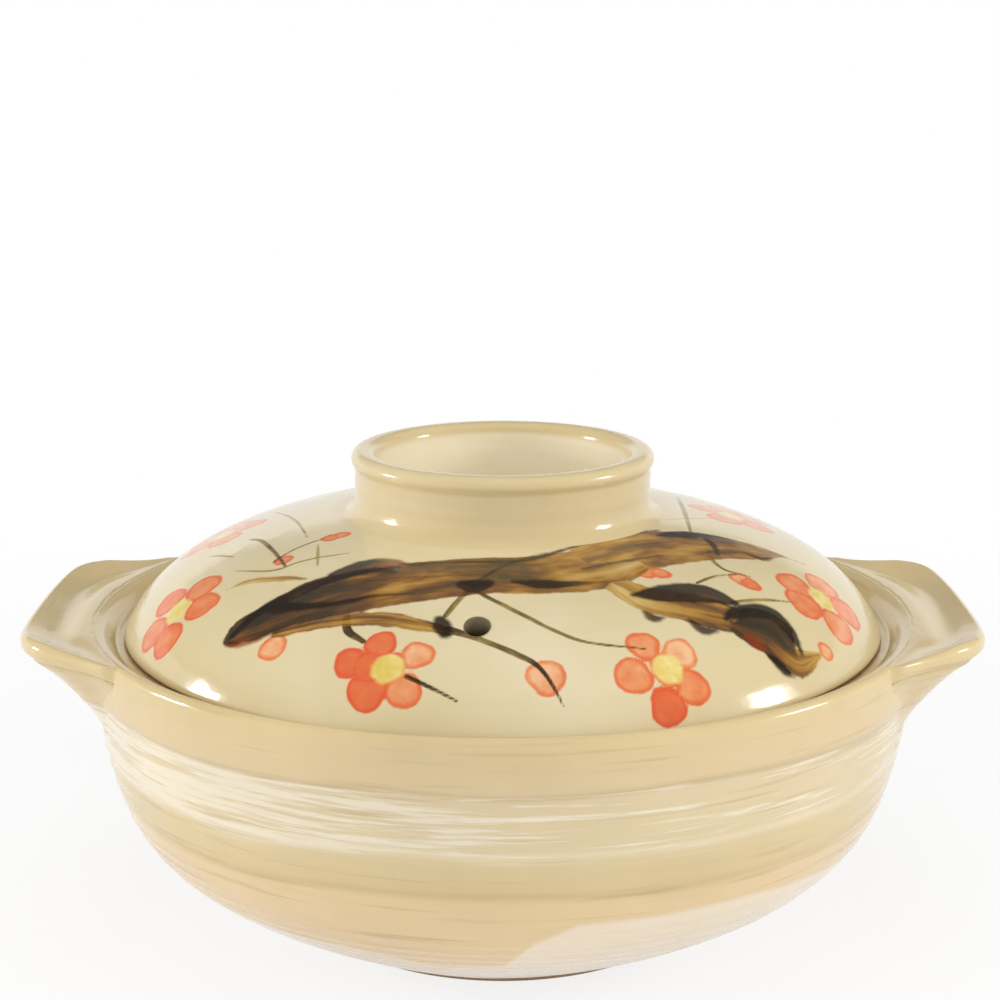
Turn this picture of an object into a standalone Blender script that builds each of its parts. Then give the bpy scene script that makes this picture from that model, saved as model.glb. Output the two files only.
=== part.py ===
"""Donabe, a glazed stoneware cooking pot with two lug handles and a domed lid.

Metres, +Z up. The origin is on the pot's axis, on the surface that the foot ring stands on.
The front of the pot faces -Y and the lugs point along +X and -X.
"""
import math

import bmesh
import bpy
from mathutils import Matrix, Vector
from mathutils.geometry import interpolate_bezier

# Fits and faceting
SEGMENTS = 60                 # steps round every turned piece
WALL_POINTS = 15              # points down the pot's wall
DOME_POINTS = 16              # points from the lid's crown to its edge
LUG_POINTS = 24               # points round a lug's outline
UNDERSIDE_ROWS = 5            # rows of facets under a lug
STEAM_HOLE_SIDES = 24
SHARP_ANGLE = 40              # degrees, edges past this stay crisp
SEAM_GAP = 0.0003             # between two clay pieces that touch
LID_PLAY = 0.0026             # between the lid's edge and the gallery, all round

# Pot
RIM_HEIGHT = 0.0980           # from the ground to the rim's inner edge
LIP_WIDTH = 0.0050            # from the rim's inner edge to its outside
LIP_CROWN = 0.0010            # how far the lip rounds up above its inner edge
GALLERY_FLARE = 0.0037        # how far the gallery's side leans out from the ledge to the rim
GALLERY_DEPTH = 0.0046        # from the rim's inner edge down to the ledge that carries the lid
LEDGE_WIDTH = 0.0079
LEDGE_LIP = 0.0045            # height of the ledge's inner face
BAND_HEIGHT = 0.0150          # thick band round the outside of the rim
BAND_STEP = 0.0008            # how far the band stands proud of the wall under it
WALL_THICKNESS = 0.0075
WALL_LEAN = 0.0081            # the wall's upper half leans in by this much
WALL_DROP = 0.0492            # over this much height
BELLY_REACH = 0.0570          # the belly's lower half runs out from the foot by this much
BELLY_RISE = 0.0276           # over this much height
FOOT_RADIUS = 0.0606
FOOT_HEIGHT = 0.0016          # outer side of the trimmed foot ring
FOOT_WIDTH = 0.0070           # flat of the foot ring that stands on the ground
FOOT_CHAMFER = 0.0010
BASE_RECESS = 0.0026          # the base inside the foot ring is trimmed up by this much
FLOOR_THICKNESS = 0.0085

# Lugs
LUG_REACH = 0.0164            # past the rim's outside
LUG_ROOT_DEPTH = 0.0235       # the lug's outline is drawn from this far inside the rim
LUG_TUCK = 0.0078             # its skin runs on this far inside the rim before it is cut
LUG_HALF_WIDTH = 0.0550
LUG_FLARE = 0.0060            # extra half width where the lug runs into the pot
LUG_SQUARENESS = 4.3          # 2 is a plain half oval, more is squarer at the corners
LUG_EDGE = 0.0060             # height of the lug's outer edge
LUG_EDGE_ROUND = 0.0018
LUG_RISE = 0.0026             # how far the outer edge curls up above the rim's inner edge
LUG_DISH = 0.0008             # how far the thumb hollow lies below that edge
LUG_UNDERCUT = 0.0150         # from the lower side of the edge down to where it meets the wall
LUG_HOLLOW = 1.25             # 1 is a straight underside, more is more hollow
LUG_FLUSH = -0.0006           # height at which the lug runs into the rim, from its inner edge
LUG_FADE = 0.80               # share of the reach over which the curl fades into the rim
LUG_TAPER = 0.70              # how much of each inset is also taken off the underside's width

# Lid
LID_RADIUS = 0.1172
LID_THICKNESS = 0.0062
LID_EDGE = 0.0018             # from the lid's seat up to where it is widest
LID_SEAT_ROUND = 0.0010
LID_RISE = 0.0376             # from where the lid is widest up to the crown
LID_SIDE_PULL = 0.0180        # how high the dome's side stays steep
LID_SIDE_LEAN = 0.0079
LID_TOP_PULL = 0.0835         # radius out to which the dome's top stays flat
STEAM_HOLE_DIAMETER = 0.0074
STEAM_HOLE_DISTANCE = 0.0912  # from the lid's axis
STEAM_HOLE_TURN = -4.4        # degrees from straight ahead, towards -X

# Ring-shaped knob on the lid, also the stand of the upturned lid
KNOB_HEIGHT = 0.0173          # from the dome's crown to the knob's top
KNOB_RADIUS = 0.0468          # widest part of the knob's lip
KNOB_WALL = 0.0080            # width of the lip
KNOB_NECK_INSET = 0.0011      # the neck's outside lies this far inside the lip's
KNOB_LIP_HEIGHT = 0.0056
KNOB_LIP_ROUND = 0.0029       # outer side of the lip
KNOB_THROAT_ROUND = 0.0022    # inner side of the lip
KNOB_FOOT_FLARE = 0.0062      # how far the foot spreads past the neck
KNOB_FOOT_HEIGHT = 0.0072
KNOB_FOOT_EDGE = 0.0008       # height of the foot's outer edge, so that it isn't a knife edge
KNOB_INNER_LEAN = 0.0014      # the recess narrows by this much down to the dome

# Places that the sizes above give
GALLERY_RADIUS = LID_RADIUS + LID_PLAY
RIM_INNER_RADIUS = GALLERY_RADIUS + GALLERY_FLARE
RIM_RADIUS = RIM_INNER_RADIUS + LIP_WIDTH
LEDGE_RADIUS = GALLERY_RADIUS - LEDGE_WIDTH
LEDGE_Z = RIM_HEIGHT - GALLERY_DEPTH
LID_SEAT_Z = LEDGE_Z + SEAM_GAP
LID_EDGE_Z = LID_SEAT_Z + LID_EDGE
LID_CROWN_Z = LID_EDGE_Z + LID_RISE
KNOB_TOP_Z = LID_CROWN_Z + KNOB_HEIGHT
FLOOR_Z = BASE_RECESS + FLOOR_THICKNESS


def curve(start, start_handle, end_handle, end, count):
    """Points of one Bezier curve in the (radius, height) plane, both ends included."""
    corners = [Vector((r, z, 0)) for r, z in (start, start_handle, end_handle, end)]
    return [(point.x, point.y) for point in interpolate_bezier(*corners, count)]


def arc(centre, radius, start, end, count):
    """Points of an arc in the (radius, height) plane, angles in degrees from straight out."""
    angles = [math.radians(start + (end - start) * i / (count - 1)) for i in range(count)]
    return [(centre[0] + radius * math.cos(a), centre[1] + radius * math.sin(a)) for a in angles]


def moved_inward(outline, distance):
    """An outline that runs down its outer side, moved towards the body by a distance."""
    result = []
    for i, (r, z) in enumerate(outline):
        before = outline[max(i - 1, 0)]
        after = outline[min(i + 1, len(outline) - 1)]
        along = Vector((after[0] - before[0], after[1] - before[1])).normalized()
        result.append((r + along.y * distance if r else 0, z - along.x * distance))
    return result


def cut_at_height(outline, height):
    """The part of a falling outline above a height, ending exactly on it."""
    kept = [outline[0]]
    for (r0, z0), (r1, z1) in zip(outline, outline[1:]):
        if z1 <= height:
            share = (z0 - height) / (z0 - z1)
            kept.append((r0 + (r1 - r0) * share, height))
            return kept
        kept.append((r1, z1))
    return kept + [(kept[-1][0], height)]


def height_on(outline, radius):
    """Height of a falling outline at a radius, going outwards from the axis."""
    for (r0, z0), (r1, z1) in zip(outline, outline[1:]):
        if r0 <= radius <= r1:
            return z0 + (z1 - z0) * (radius - r0) / (r1 - r0)
    return outline[-1][1]


def pot_wall():
    """Outside of the pot from under the rim band down to the foot."""
    top = (RIM_RADIUS - BAND_STEP, RIM_HEIGHT - BAND_HEIGHT)
    foot = (FOOT_RADIUS, FOOT_HEIGHT)
    return curve(top, (top[0] - WALL_LEAN, top[1] - WALL_DROP),
                 (foot[0] + BELLY_REACH, foot[1] + BELLY_RISE), foot, WALL_POINTS)


def pot_rim():
    """Rounded lip and the band under it, from the crown down the outside."""
    crown_z = RIM_HEIGHT + LIP_CROWN
    lip_round = LIP_WIDTH / 2
    crown = arc((RIM_RADIUS - lip_round, crown_z - lip_round), lip_round, 90, 0, 5)
    band = (RIM_RADIUS, RIM_HEIGHT - BAND_HEIGHT + BAND_STEP)
    return crown + [band]


def dome():
    """Outside of the lid from its crown down to where it is widest."""
    crown = (0, LID_CROWN_Z)
    edge = (LID_RADIUS, LID_EDGE_Z)
    return curve(crown, (LID_TOP_PULL, LID_CROWN_Z),
                 (edge[0] - LID_SIDE_LEAN, edge[1] + LID_SIDE_PULL), edge, DOME_POINTS)


def finish_mesh(name, bm, material):
    """Close, orient and smooth a mesh, and put it in the scene as an object."""
    bmesh.ops.remove_doubles(bm, verts=bm.verts, dist=0.00002)
    bmesh.ops.recalc_face_normals(bm, faces=bm.faces)
    mesh = bpy.data.meshes.new(name)
    bm.to_mesh(mesh)
    bm.free()
    mesh.shade_smooth()
    mesh.set_sharp_from_angle(angle=math.radians(SHARP_ANGLE))
    obj = bpy.data.objects.new(name, mesh)
    bpy.context.collection.objects.link(obj)
    if material:
        mesh.materials.append(material)
    return obj


def turned(name, outline, material=None, ring=False):
    """Turn an outline of (radius, height) points round the pot's axis."""
    bm = bmesh.new()
    verts = [bm.verts.new((r, 0, z)) for r, z in outline]
    edges = [bm.edges.new(pair) for pair in zip(verts, verts[1:])]
    if ring:
        edges.append(bm.edges.new((verts[-1], verts[0])))
    bmesh.ops.spin(bm, geom=verts + edges, cent=(0, 0, 0), axis=(0, 0, 1), dvec=(0, 0, 0),
                   angle=math.tau, steps=SEGMENTS, use_merge=True, use_duplicate=False)
    return finish_mesh(name, bm, material)


def stoneware(name, colour, roughness):
    material = bpy.data.materials.new(name)
    material.use_nodes = True
    shader = material.node_tree.nodes["Principled BSDF"]
    shader.inputs["Base Color"].default_value = (*colour, 1)
    shader.inputs["Roughness"].default_value = roughness
    shader.inputs["Metallic"].default_value = 0
    return material


def subtract(obj, cutter):
    """Cut a piece by a guide object, which itself isn't part of the pot."""
    cut = obj.modifiers.new("cut", "BOOLEAN")
    cut.operation = "DIFFERENCE"
    cut.solver = "EXACT"
    cut.object = cutter
    cutter.hide_render = True
    cutter.display_type = "WIRE"


def make_bowl(material):
    """Bowl with its rim, gallery and trimmed foot, thrown in one piece."""
    wall = pot_wall()
    ledge = [(LEDGE_RADIUS, LEDGE_Z - LEDGE_LIP), (LEDGE_RADIUS, LEDGE_Z), (GALLERY_RADIUS, LEDGE_Z)]
    inner = [point for point in moved_inward(wall, WALL_THICKNESS)
             if point[1] < LEDGE_Z - 2 * LEDGE_LIP]
    inner = cut_at_height(inner, FLOOR_Z)
    foot = [(FOOT_RADIUS - FOOT_CHAMFER, 0), (FOOT_RADIUS - FOOT_CHAMFER - FOOT_WIDTH, 0)]
    recess = [(foot[1][0] - BASE_RECESS, BASE_RECESS), (0, BASE_RECESS)]
    outline = [(0, FLOOR_Z)] + inner[::-1] + ledge
    outline += [(RIM_INNER_RADIUS, RIM_HEIGHT)] + pot_rim() + wall + foot + recess
    return turned("pot_bowl", outline, material)


def lug_rows():
    """Rows of a lug's skin: inset from its outline, height over the rim's inner edge, and taper.

    They run from inside the rim over the thumb hollow, round the edge and back under it.
    """
    reach = LUG_REACH + LUG_TUCK
    under = LUG_RISE - LUG_EDGE
    top = [(1.0, LUG_FLUSH), (0.7, LUG_FLUSH), (0.5, -LUG_DISH), (0.34, -LUG_DISH / 2),
           (0.21, LUG_RISE * 0.4), (0.12, LUG_RISE * 0.8)]
    rows = [(share * reach, height, 1) for share, height in top]
    rows += [(LUG_EDGE_ROUND * (1 - c), LUG_RISE - LUG_EDGE_ROUND * (1 - s), 1)
             for c, s in arc((0, 0), 1, 75, 0, 4)]
    rows += [(LUG_EDGE_ROUND * (1 - c), under + LUG_EDGE_ROUND * (1 + s), 1)
             for c, s in arc((0, 0), 1, 0, -60, 4)]
    for step in range(1, UNDERSIDE_ROWS + 1):
        inset = LUG_EDGE_ROUND + (reach - LUG_EDGE_ROUND) * step / UNDERSIDE_ROWS
        drop = LUG_UNDERCUT * (inset / LUG_REACH) ** LUG_HOLLOW
        rows.append((inset, under - drop, LUG_TAPER))
    return rows


def lug_row(inset, height, taper):
    """One row of points round a lug, the tip at +X, both ends inside the rim."""
    root = RIM_RADIUS - LUG_ROOT_DEPTH
    length = LUG_REACH + LUG_ROOT_DEPTH
    points = []
    for i in range(LUG_POINTS):
        angle = math.pi * (i / (LUG_POINTS - 1) - 0.5)
        across = abs(math.cos(angle)) ** (2 / LUG_SQUARENESS)
        side = math.copysign(abs(math.sin(angle)) ** (2 / LUG_SQUARENESS), angle)
        x = root + (length - inset) * across
        flare = LUG_FLARE * ((root + length - x) / length) ** 2
        y = side * (LUG_HALF_WIDTH - inset * taper + flare)
        out = (math.hypot(x, y) - RIM_RADIUS) / (LUG_REACH * LUG_FADE)
        fade = min(max(out, 0), 1)
        if height > LUG_FLUSH:
            level = LUG_FLUSH + (height - LUG_FLUSH) * fade
        else:
            level = height
        points.append((x, y, RIM_HEIGHT + level))
    return points


def make_lug(name, turn, material):
    """A lug handle that points along +X before it is turned round the pot's axis."""
    bm = bmesh.new()
    rows = [[bm.verts.new(point) for point in lug_row(*row)] for row in lug_rows()]
    for upper, lower in zip(rows, rows[1:]):
        for i in range(LUG_POINTS):
            j = (i + 1) % LUG_POINTS
            bm.faces.new((upper[i], upper[j], lower[j], lower[i]))
    bm.faces.new(rows[0])
    bm.faces.new(rows[-1])
    bmesh.ops.rotate(bm, verts=bm.verts, cent=(0, 0, 0), matrix=Matrix.Rotation(turn, 3, "Z"))
    return finish_mesh(name, bm, material)


def make_seam_guide():
    """Guide solid: the outside of the pot moved out by the seam's gap, and open upwards."""
    skin = moved_inward(pot_rim() + pot_wall(), -SEAM_GAP)
    top_z = RIM_HEIGHT + 2 * LUG_EDGE
    outline = [(0, top_z), (skin[0][0], top_z)] + skin + [(0, skin[-1][1])]
    return turned("seam_guide", outline)


def make_dome(material):
    """Domed lid shell with a flat seat under its edge."""
    skin = dome()
    seat = [(LID_RADIUS, LID_SEAT_Z + LID_SEAT_ROUND), (LID_RADIUS - LID_SEAT_ROUND, LID_SEAT_Z)]
    hollow = cut_at_height(moved_inward(skin, LID_THICKNESS), LID_SEAT_Z)
    return turned("lid_dome", skin + seat + hollow[::-1], material)


def make_steam_guide():
    """Guide solid for the steam hole, straight down through the front of the dome."""
    bm = bmesh.new()
    bmesh.ops.create_cone(bm, cap_ends=True, segments=STEAM_HOLE_SIDES, depth=LID_RISE,
                          radius1=STEAM_HOLE_DIAMETER / 2, radius2=STEAM_HOLE_DIAMETER / 2)
    guide = finish_mesh("steam_guide", bm, None)
    turn = math.radians(STEAM_HOLE_TURN)
    guide.location = (STEAM_HOLE_DISTANCE * math.sin(turn), -STEAM_HOLE_DISTANCE * math.cos(turn),
                      height_on(dome(), STEAM_HOLE_DISTANCE))
    return guide


def make_knob(material):
    """Ring-shaped knob: rolled lip, upright neck and a foot that spreads onto the dome."""
    skin = dome()
    inner = KNOB_RADIUS - KNOB_WALL
    neck = KNOB_RADIUS - KNOB_NECK_INSET
    foot = neck + KNOB_FOOT_FLARE
    recess = inner - KNOB_INNER_LEAN
    foot_z = height_on(skin, foot) + SEAM_GAP
    lip_centre = (KNOB_RADIUS - KNOB_LIP_ROUND, KNOB_TOP_Z - KNOB_LIP_ROUND)
    lip = arc(lip_centre, KNOB_LIP_ROUND, 90, -50, 8)
    flare = curve((neck, foot_z + KNOB_FOOT_HEIGHT), (neck, foot_z + KNOB_FOOT_HEIGHT * 0.4),
                  (neck + KNOB_FOOT_FLARE * 0.5, foot_z + KNOB_FOOT_EDGE),
                  (foot, foot_z + KNOB_FOOT_EDGE), 6)
    under = [(r, height_on(skin, r) + SEAM_GAP) for r in (foot, (foot + recess) / 2, recess)]
    throat_centre = (inner + KNOB_THROAT_ROUND, KNOB_TOP_Z - KNOB_THROAT_ROUND)
    throat = arc(throat_centre, KNOB_THROAT_ROUND, 180, 90, 5)
    outline = lip + [(neck, KNOB_TOP_Z - KNOB_LIP_HEIGHT)] + flare + under + throat
    return turned("lid_knob_ring", outline, material, ring=True)


def hang(obj, parent):
    """Hang a piece under an empty, with its origin there and its shape where it was."""
    obj.data.transform(Matrix.Translation(-parent.location))
    obj.parent = parent


def axis_empty(name, height):
    """An empty on the pot's axis, which carries one body of the donabe."""
    empty = bpy.data.objects.new(name, None)
    empty.location = (0, 0, height)
    bpy.context.collection.objects.link(empty)
    return empty


def main():
    for obj in list(bpy.data.objects):
        bpy.data.objects.remove(obj, do_unlink=True)

    pot = axis_empty("pot", 0)
    bowl_glaze = stoneware("clear glaze on brushed white slip", (0.68, 0.53, 0.33), 0.16)
    hang(make_bowl(bowl_glaze), pot)
    seam_guide = make_seam_guide()
    lug_glaze = stoneware("clear glaze on lug stoneware", (0.71, 0.57, 0.36), 0.16)
    for name, turn in (("lug_right", 0), ("lug_left", math.pi)):
        lug = make_lug(name, turn, lug_glaze)
        subtract(lug, seam_guide)
        hang(lug, pot)

    lid = axis_empty("lid", LID_SEAT_Z)
    dome_glaze = stoneware("clear glaze on white-slipped lid", (0.80, 0.73, 0.57), 0.14)
    lid_dome = make_dome(dome_glaze)
    subtract(lid_dome, make_steam_guide())
    hang(lid_dome, lid)
    knob_glaze = stoneware("clear glaze on knob stoneware", (0.79, 0.72, 0.56), 0.14)
    hang(make_knob(knob_glaze), lid)


main()
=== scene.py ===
"""Looks of a donabe: glazed stoneware, brushed white slip and a plum branch painted on the lid.

Metres, +Z up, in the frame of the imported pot: its front faces -Y and its lugs point along X.
The painting is laid out in millimetres on the unrolled lid: distances from the crown along the
glaze, to the right and to the back.
"""
import math

import bmesh
import bpy
import numpy as np
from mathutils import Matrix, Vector


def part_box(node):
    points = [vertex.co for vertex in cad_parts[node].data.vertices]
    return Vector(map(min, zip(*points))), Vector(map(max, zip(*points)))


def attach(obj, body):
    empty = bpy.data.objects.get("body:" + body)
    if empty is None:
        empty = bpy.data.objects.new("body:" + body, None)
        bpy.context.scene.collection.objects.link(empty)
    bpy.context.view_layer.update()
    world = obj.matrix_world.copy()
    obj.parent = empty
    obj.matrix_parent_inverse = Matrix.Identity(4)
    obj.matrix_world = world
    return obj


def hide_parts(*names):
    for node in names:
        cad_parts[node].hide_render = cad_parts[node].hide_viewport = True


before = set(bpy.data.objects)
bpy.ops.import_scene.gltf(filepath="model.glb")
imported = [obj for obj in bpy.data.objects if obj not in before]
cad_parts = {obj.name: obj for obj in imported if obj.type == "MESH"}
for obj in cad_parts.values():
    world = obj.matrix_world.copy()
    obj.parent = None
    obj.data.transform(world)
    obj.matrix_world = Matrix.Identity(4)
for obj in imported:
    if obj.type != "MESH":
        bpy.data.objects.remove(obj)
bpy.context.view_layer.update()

# The pot as it is packed
BOWL_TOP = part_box("pot_bowl")[1]
LID_LOW, LID_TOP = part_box("lid_dome")
KNOB_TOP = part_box("lid_knob_ring")[1]
LUG_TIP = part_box("lug_right")[1]

# Bowl
RIM_RADIUS = BOWL_TOP.x
LIP_CROWN = 0.0010
RIM_HEIGHT = BOWL_TOP.z - LIP_CROWN   # the rim's inner edge
LIP_WIDTH = 0.0050
LIP_ROUND = LIP_WIDTH / 2
GALLERY_FLARE = 0.0037
GALLERY_DEPTH = 0.0046
LEDGE_WIDTH = 0.0079
LEDGE_LIP = 0.0045
BAND_HEIGHT = 0.0150
BAND_STEP = 0.0008
WALL_THICKNESS = 0.0075
WALL_LEAN = 0.0081
WALL_DROP = 0.0492
BELLY_REACH = 0.0570
BELLY_RISE = 0.0276
FOOT_RADIUS = 0.0606
FOOT_HEIGHT = 0.0016
FOOT_WIDTH = 0.0070
FOOT_CHAMFER = 0.0010
BASE_RECESS = 0.0026
FLOOR_Z = BASE_RECESS + 0.0085

# Lugs
LUG_REACH = LUG_TIP.x - RIM_RADIUS
LUG_RISE = LUG_TIP.z - RIM_HEIGHT
LUG_ROOT_DEPTH = 0.0235
LUG_TUCK = 0.0078
LUG_HALF_WIDTH = 0.0550
LUG_FLARE = 0.0060
LUG_SQUARENESS = 4.3
LUG_EDGE = 0.0060
LUG_EDGE_ROUND = 0.0024
LUG_DISH = 0.0008
LUG_UNDERCUT = 0.0118
LUG_HOLLOW = 1.35
LUG_BOW = 0.0012                      # how far the edge bows out between the lug's two corners
LUG_FLUSH = LIP_CROWN + 0.00005       # the lug's top runs level into the crown of the rim
LUG_FADE = 0.80
LUG_TAPER = 0.40
LUG_COLUMNS = 180                     # points along a lug, from one root to the other
LUG_FLOW = 0.0160                     # reach of the curve in which the lug's sides flow into the rim
LUG_CURL = 0.0016                     # how much further the edge curls up at the lug's two corners
LUG_FILLET = 0.0050                   # slip that was wiped into the joint under the lug
LUG_BURIED = 0.0025                   # depth of the lug's root inside the wall
LUG_SUNK = 0.0009                     # the joint's thin end is sunk under the wall's uneven skin

# Lid
LID_RADIUS = LID_TOP.x
LID_SEAT_Z = LID_LOW.z
LID_THICKNESS = 0.0062
LID_EDGE_Z = LID_SEAT_Z + 0.0018      # where the lid is widest
LID_SEAT_ROUND = 0.0010
LID_SIDE_PULL = 0.0180
LID_SIDE_LEAN = 0.0079
LID_TOP_PULL = 0.0835
STEAM_HOLE_RADIUS = 0.0037
STEAM_HOLE_DISTANCE = 0.0912
STEAM_HOLE_TURN = -4.4                # degrees from straight ahead, towards -X
STEAM_EDGE = 0.0009                   # width over which the glaze rounds down into the hole

# Knob
KNOB_WALL = 0.0080
KNOB_NECK_INSET = 0.0011
KNOB_LIP_HEIGHT = 0.0056
KNOB_LIP_ROUND = 0.0029
KNOB_THROAT_ROUND = 0.0034
KNOB_FOOT_FLARE = 0.0062
KNOB_FOOT_HEIGHT = 0.0072
KNOB_INNER_LEAN = 0.0014
KNOB_RADIUS = KNOB_TOP.x - KNOB_FOOT_FLARE + KNOB_NECK_INSET   # the box reaches the knob's foot
KNOB_SUNK = 0.0002                    # the knob's foot is bedded this deep in the dome's glaze

# Places that follow
GALLERY_RADIUS = RIM_RADIUS - LIP_WIDTH - GALLERY_FLARE
LEDGE_RADIUS = GALLERY_RADIUS - LEDGE_WIDTH
LEDGE_Z = RIM_HEIGHT - GALLERY_DEPTH

# Painting on the unrolled lid, in millimetres. A stroke is a list of points:
# to the right, to the back, half width, tone from dark ink 0 to ochre wash 1.
BRANCH = (
    ((-78, -76, 4.4, .12), (-76, -75, 6, .08), (-70, -74.5, 7.4, .08), (-63, -73, 8.8, .1),
     (-54, -71, 11.6, .15), (-43, -70, 12.2, .25), (-23, -68.5, 12, .36), (-5, -67, 11.4, .4),
     (11, -66, 12, .42), (25, -61, 12.5, .6), (35, -55, 9, .7), (44, -50, 3, .7)),
    ((17, -64, 4, .5), (24, -58, 9, .6), (33, -50, 12, .62), (47, -39, 12.5, .5),
     (59, -32, 11, .4), (70, -28, 8.5, .5), (79, -24, 5, .7), (88, -21, .6, .8)),
    ((-65, -82, 2.2, .3), (-48, -83.5, 3, .5), (-34, -86.5, 3.3, .55), (-23, -91, 2.8, .45),
     (-15, -95, 1.8, .3)),
    ((33, -70, 5, .8), (41, -75, 7, .7), (51, -75, 7.5, .6), (61, -75, 7.5, .5), (68, -75, 6, .4)),
    ((63, -77, 3.5, .15), (70, -76, 8, .1), (78, -75, 10, .15), (84, -79, 8, .3),
     (89, -79, 5, .6), (96, -71, .8, .8)),
    ((-82, -50, .5, .8), (-74, -50, 1.6, .8), (-63, -55, 1.8, .7), (-57, -58, 1, .5)),
)
INK = (
    ((-80, -78, 1.8, .5), (-75, -80.5, 2, .9), (-68, -81, 1.8, .6), (-59, -80, .8, .3)),
    ((-79, -75.5, 1.6, 0), (-71, -70, 2.6, 0), (-61, -66, 3.4, 0), (-47, -61, 2.8, .1),
     (-23, -58.5, 1.5, .1), (3, -58.5, 1.6, 0), (13, -53, 1.8, .1), (24, -43, 1.4, .2),
     (35, -33, 1.6, .1), (47, -24, 1.3, .1)),
    ((-67, -70, 2.2, 0), (-63, -71, 3.4, 0), (-58, -73, 2.2, 0), (-51, -74, 1.4, 0)),
    ((-59, -74, 1.6, 0), (-47, -75.5, 2, .1), (-36, -75, 1.5, .2), (-25, -76, .8, .3)),
    ((-55, -66, 1, .5), (-37, -66, 1, .6), (-17, -67, 1, .5), (1, -67, .8, .4)),
    ((3, -71, 1.6, 0), (9, -72, 3.2, 0), (15, -72, 3, .1), (25, -70, 1.6, .5), (33, -67, .8, .7)),
    ((-11, -72.5, 3.2, 0), (-8, -73.5, 4.6, 0), (-5, -72, 3.4, 0)),
    ((-8, -72, 1.4, 0), (0, -62, 1.1, .1), (8, -55, .9, .1), (15, -50, .8, .2)),
    ((-17.5, -89.5, 2.6, 0), (-16.8, -92.5, 3.4, 0), (-16, -95.5, 2.6, 0)),
    ((37, -74, 1.6, .1), (43, -72, 4.2, 0), (51, -68.5, 5.6, .05), (59, -66, 5.4, .05),
     (67, -67, 2.4, .1)),
    ((64, -76, 1.6, 0), (68, -71, 3.4, 0), (77, -65.5, 4, .05), (84, -69, 3.2, .1),
     (89, -76, 1.4, .1)),
    ((71, -80, 2.2, .9), (73.5, -81.5, 3, .95), (76, -82, 1.8, .9)),
    ((78, -84, 1.8, 0), (83, -86, 2.4, 0), (88, -86, .8, 0)),
    ((39.5, -81.5, 1.4, .5), (42.5, -84, 2.4, .3), (45.5, -82.5, 1.2, .4)),
    ((53, -81.5, 1.6, .4), (57, -84, 2.6, .3), (61, -82.5, 1.4, .4)),
    ((47, -29, 1.6, .1), (54, -25, 3.6, .1), (61, -22, 2.4, .2), (69, -20.5, 1.6, .4),
     (77, -22, 1, .5)),
    ((60, -23, 1.4, .2), (63, -29, 2, .2), (64, -38, 1.2, .3)),
    ((73, -30, 1.4, .3), (78, -31, 2.2, .3), (82, -27, 1, .4)),
    ((-49, -59, 2.6, .2), (-41, -56, 4.4, .3), (-34, -56, 4.2, .7), (-27, -59, 2.2, .4)),
    ((23, -62, 1.2, .4), (35, -54, 1.4, .4), (47, -46, 1, .5)),
)
TWIG_LAYERS = ("twigs_low", "twigs_high", "twigs_far")
TWIGS = (
    (((-15, -94, 1.6, .2), (-7, -98, 1.1, .5), (4, -104, 1.1, .4), (9, -107, .9, .1),
      (13, -112, .7, .1), (17, -119, .4, .3)),
     ((-44, -83, 1.2, .1), (-43.5, -89, 1.4, .1), (-39, -94.5, .9, .1)),
     ((-78, -13, .6, .6), (-74, -18, .9, .5), (-69, -31, .8, .5), (-64, -46, .6, .3)),
     ((57, 31, .5, .9), (57, 16, .8, .8), (57, 1, .9, .8), (57, -21, .6, .7)),
     ((56, -61, .7, .3), (62, -54, .6, .6), (69, -49, .5, .6)),
     ((-82, -26, .5, 1), (-87, -20, .7, 1), (-91, -16, .4, 1))),
    (((-7, -77, .8, .2), (-3, -81, .9, .4), (4, -87, .9, .5), (12, -93, .8, .6),
      (20, -97, .7, .6), (28, -98, .6, .5), (40, -97, .5, .4)),
     ((-27, -109, .8, .1), (-20, -113.5, .7, .1), (-13, -118, .55, .3)),
     ((-68, -41, .6, .3), (-64, -36, .6, .4), (-59, -32, .6, .3), (-53, -29, .4, .3)),
     ((50, -11, .4, .9), (58, -5, .5, .9), (67, 2, .3, .9)),
     ((66, -67, .8, .7), (76, -60, .8, .7), (88, -53, .4, .8)),
     ((-75, 24, .4, .9), (-68, 7, .6, .9), (-63, -8, .6, .9), (-59, -25, .4, .8))),
    (((-16, -88, 1, .5), (-13, -82, 1, .6), (-8, -73, .8, .4)),
     ((-80, -39, .4, .9), (-68, -47, .7, .8), (-58, -45, .6, .8), (-45, -45, .4, .8)),
     ((61, -33, .8, .4), (62, -43, .9, .5), (65.5, -48, .8, .6), (73, -48, .5, .6)),
     ((-55, -34, .4, .9), (-54.5, -42, .6, .8), (-54, -51, .4, .7)),
     ((94, -20, .5, .9), (90, -21, .6, .9), (85, -22, .5, .8))),
)
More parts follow.
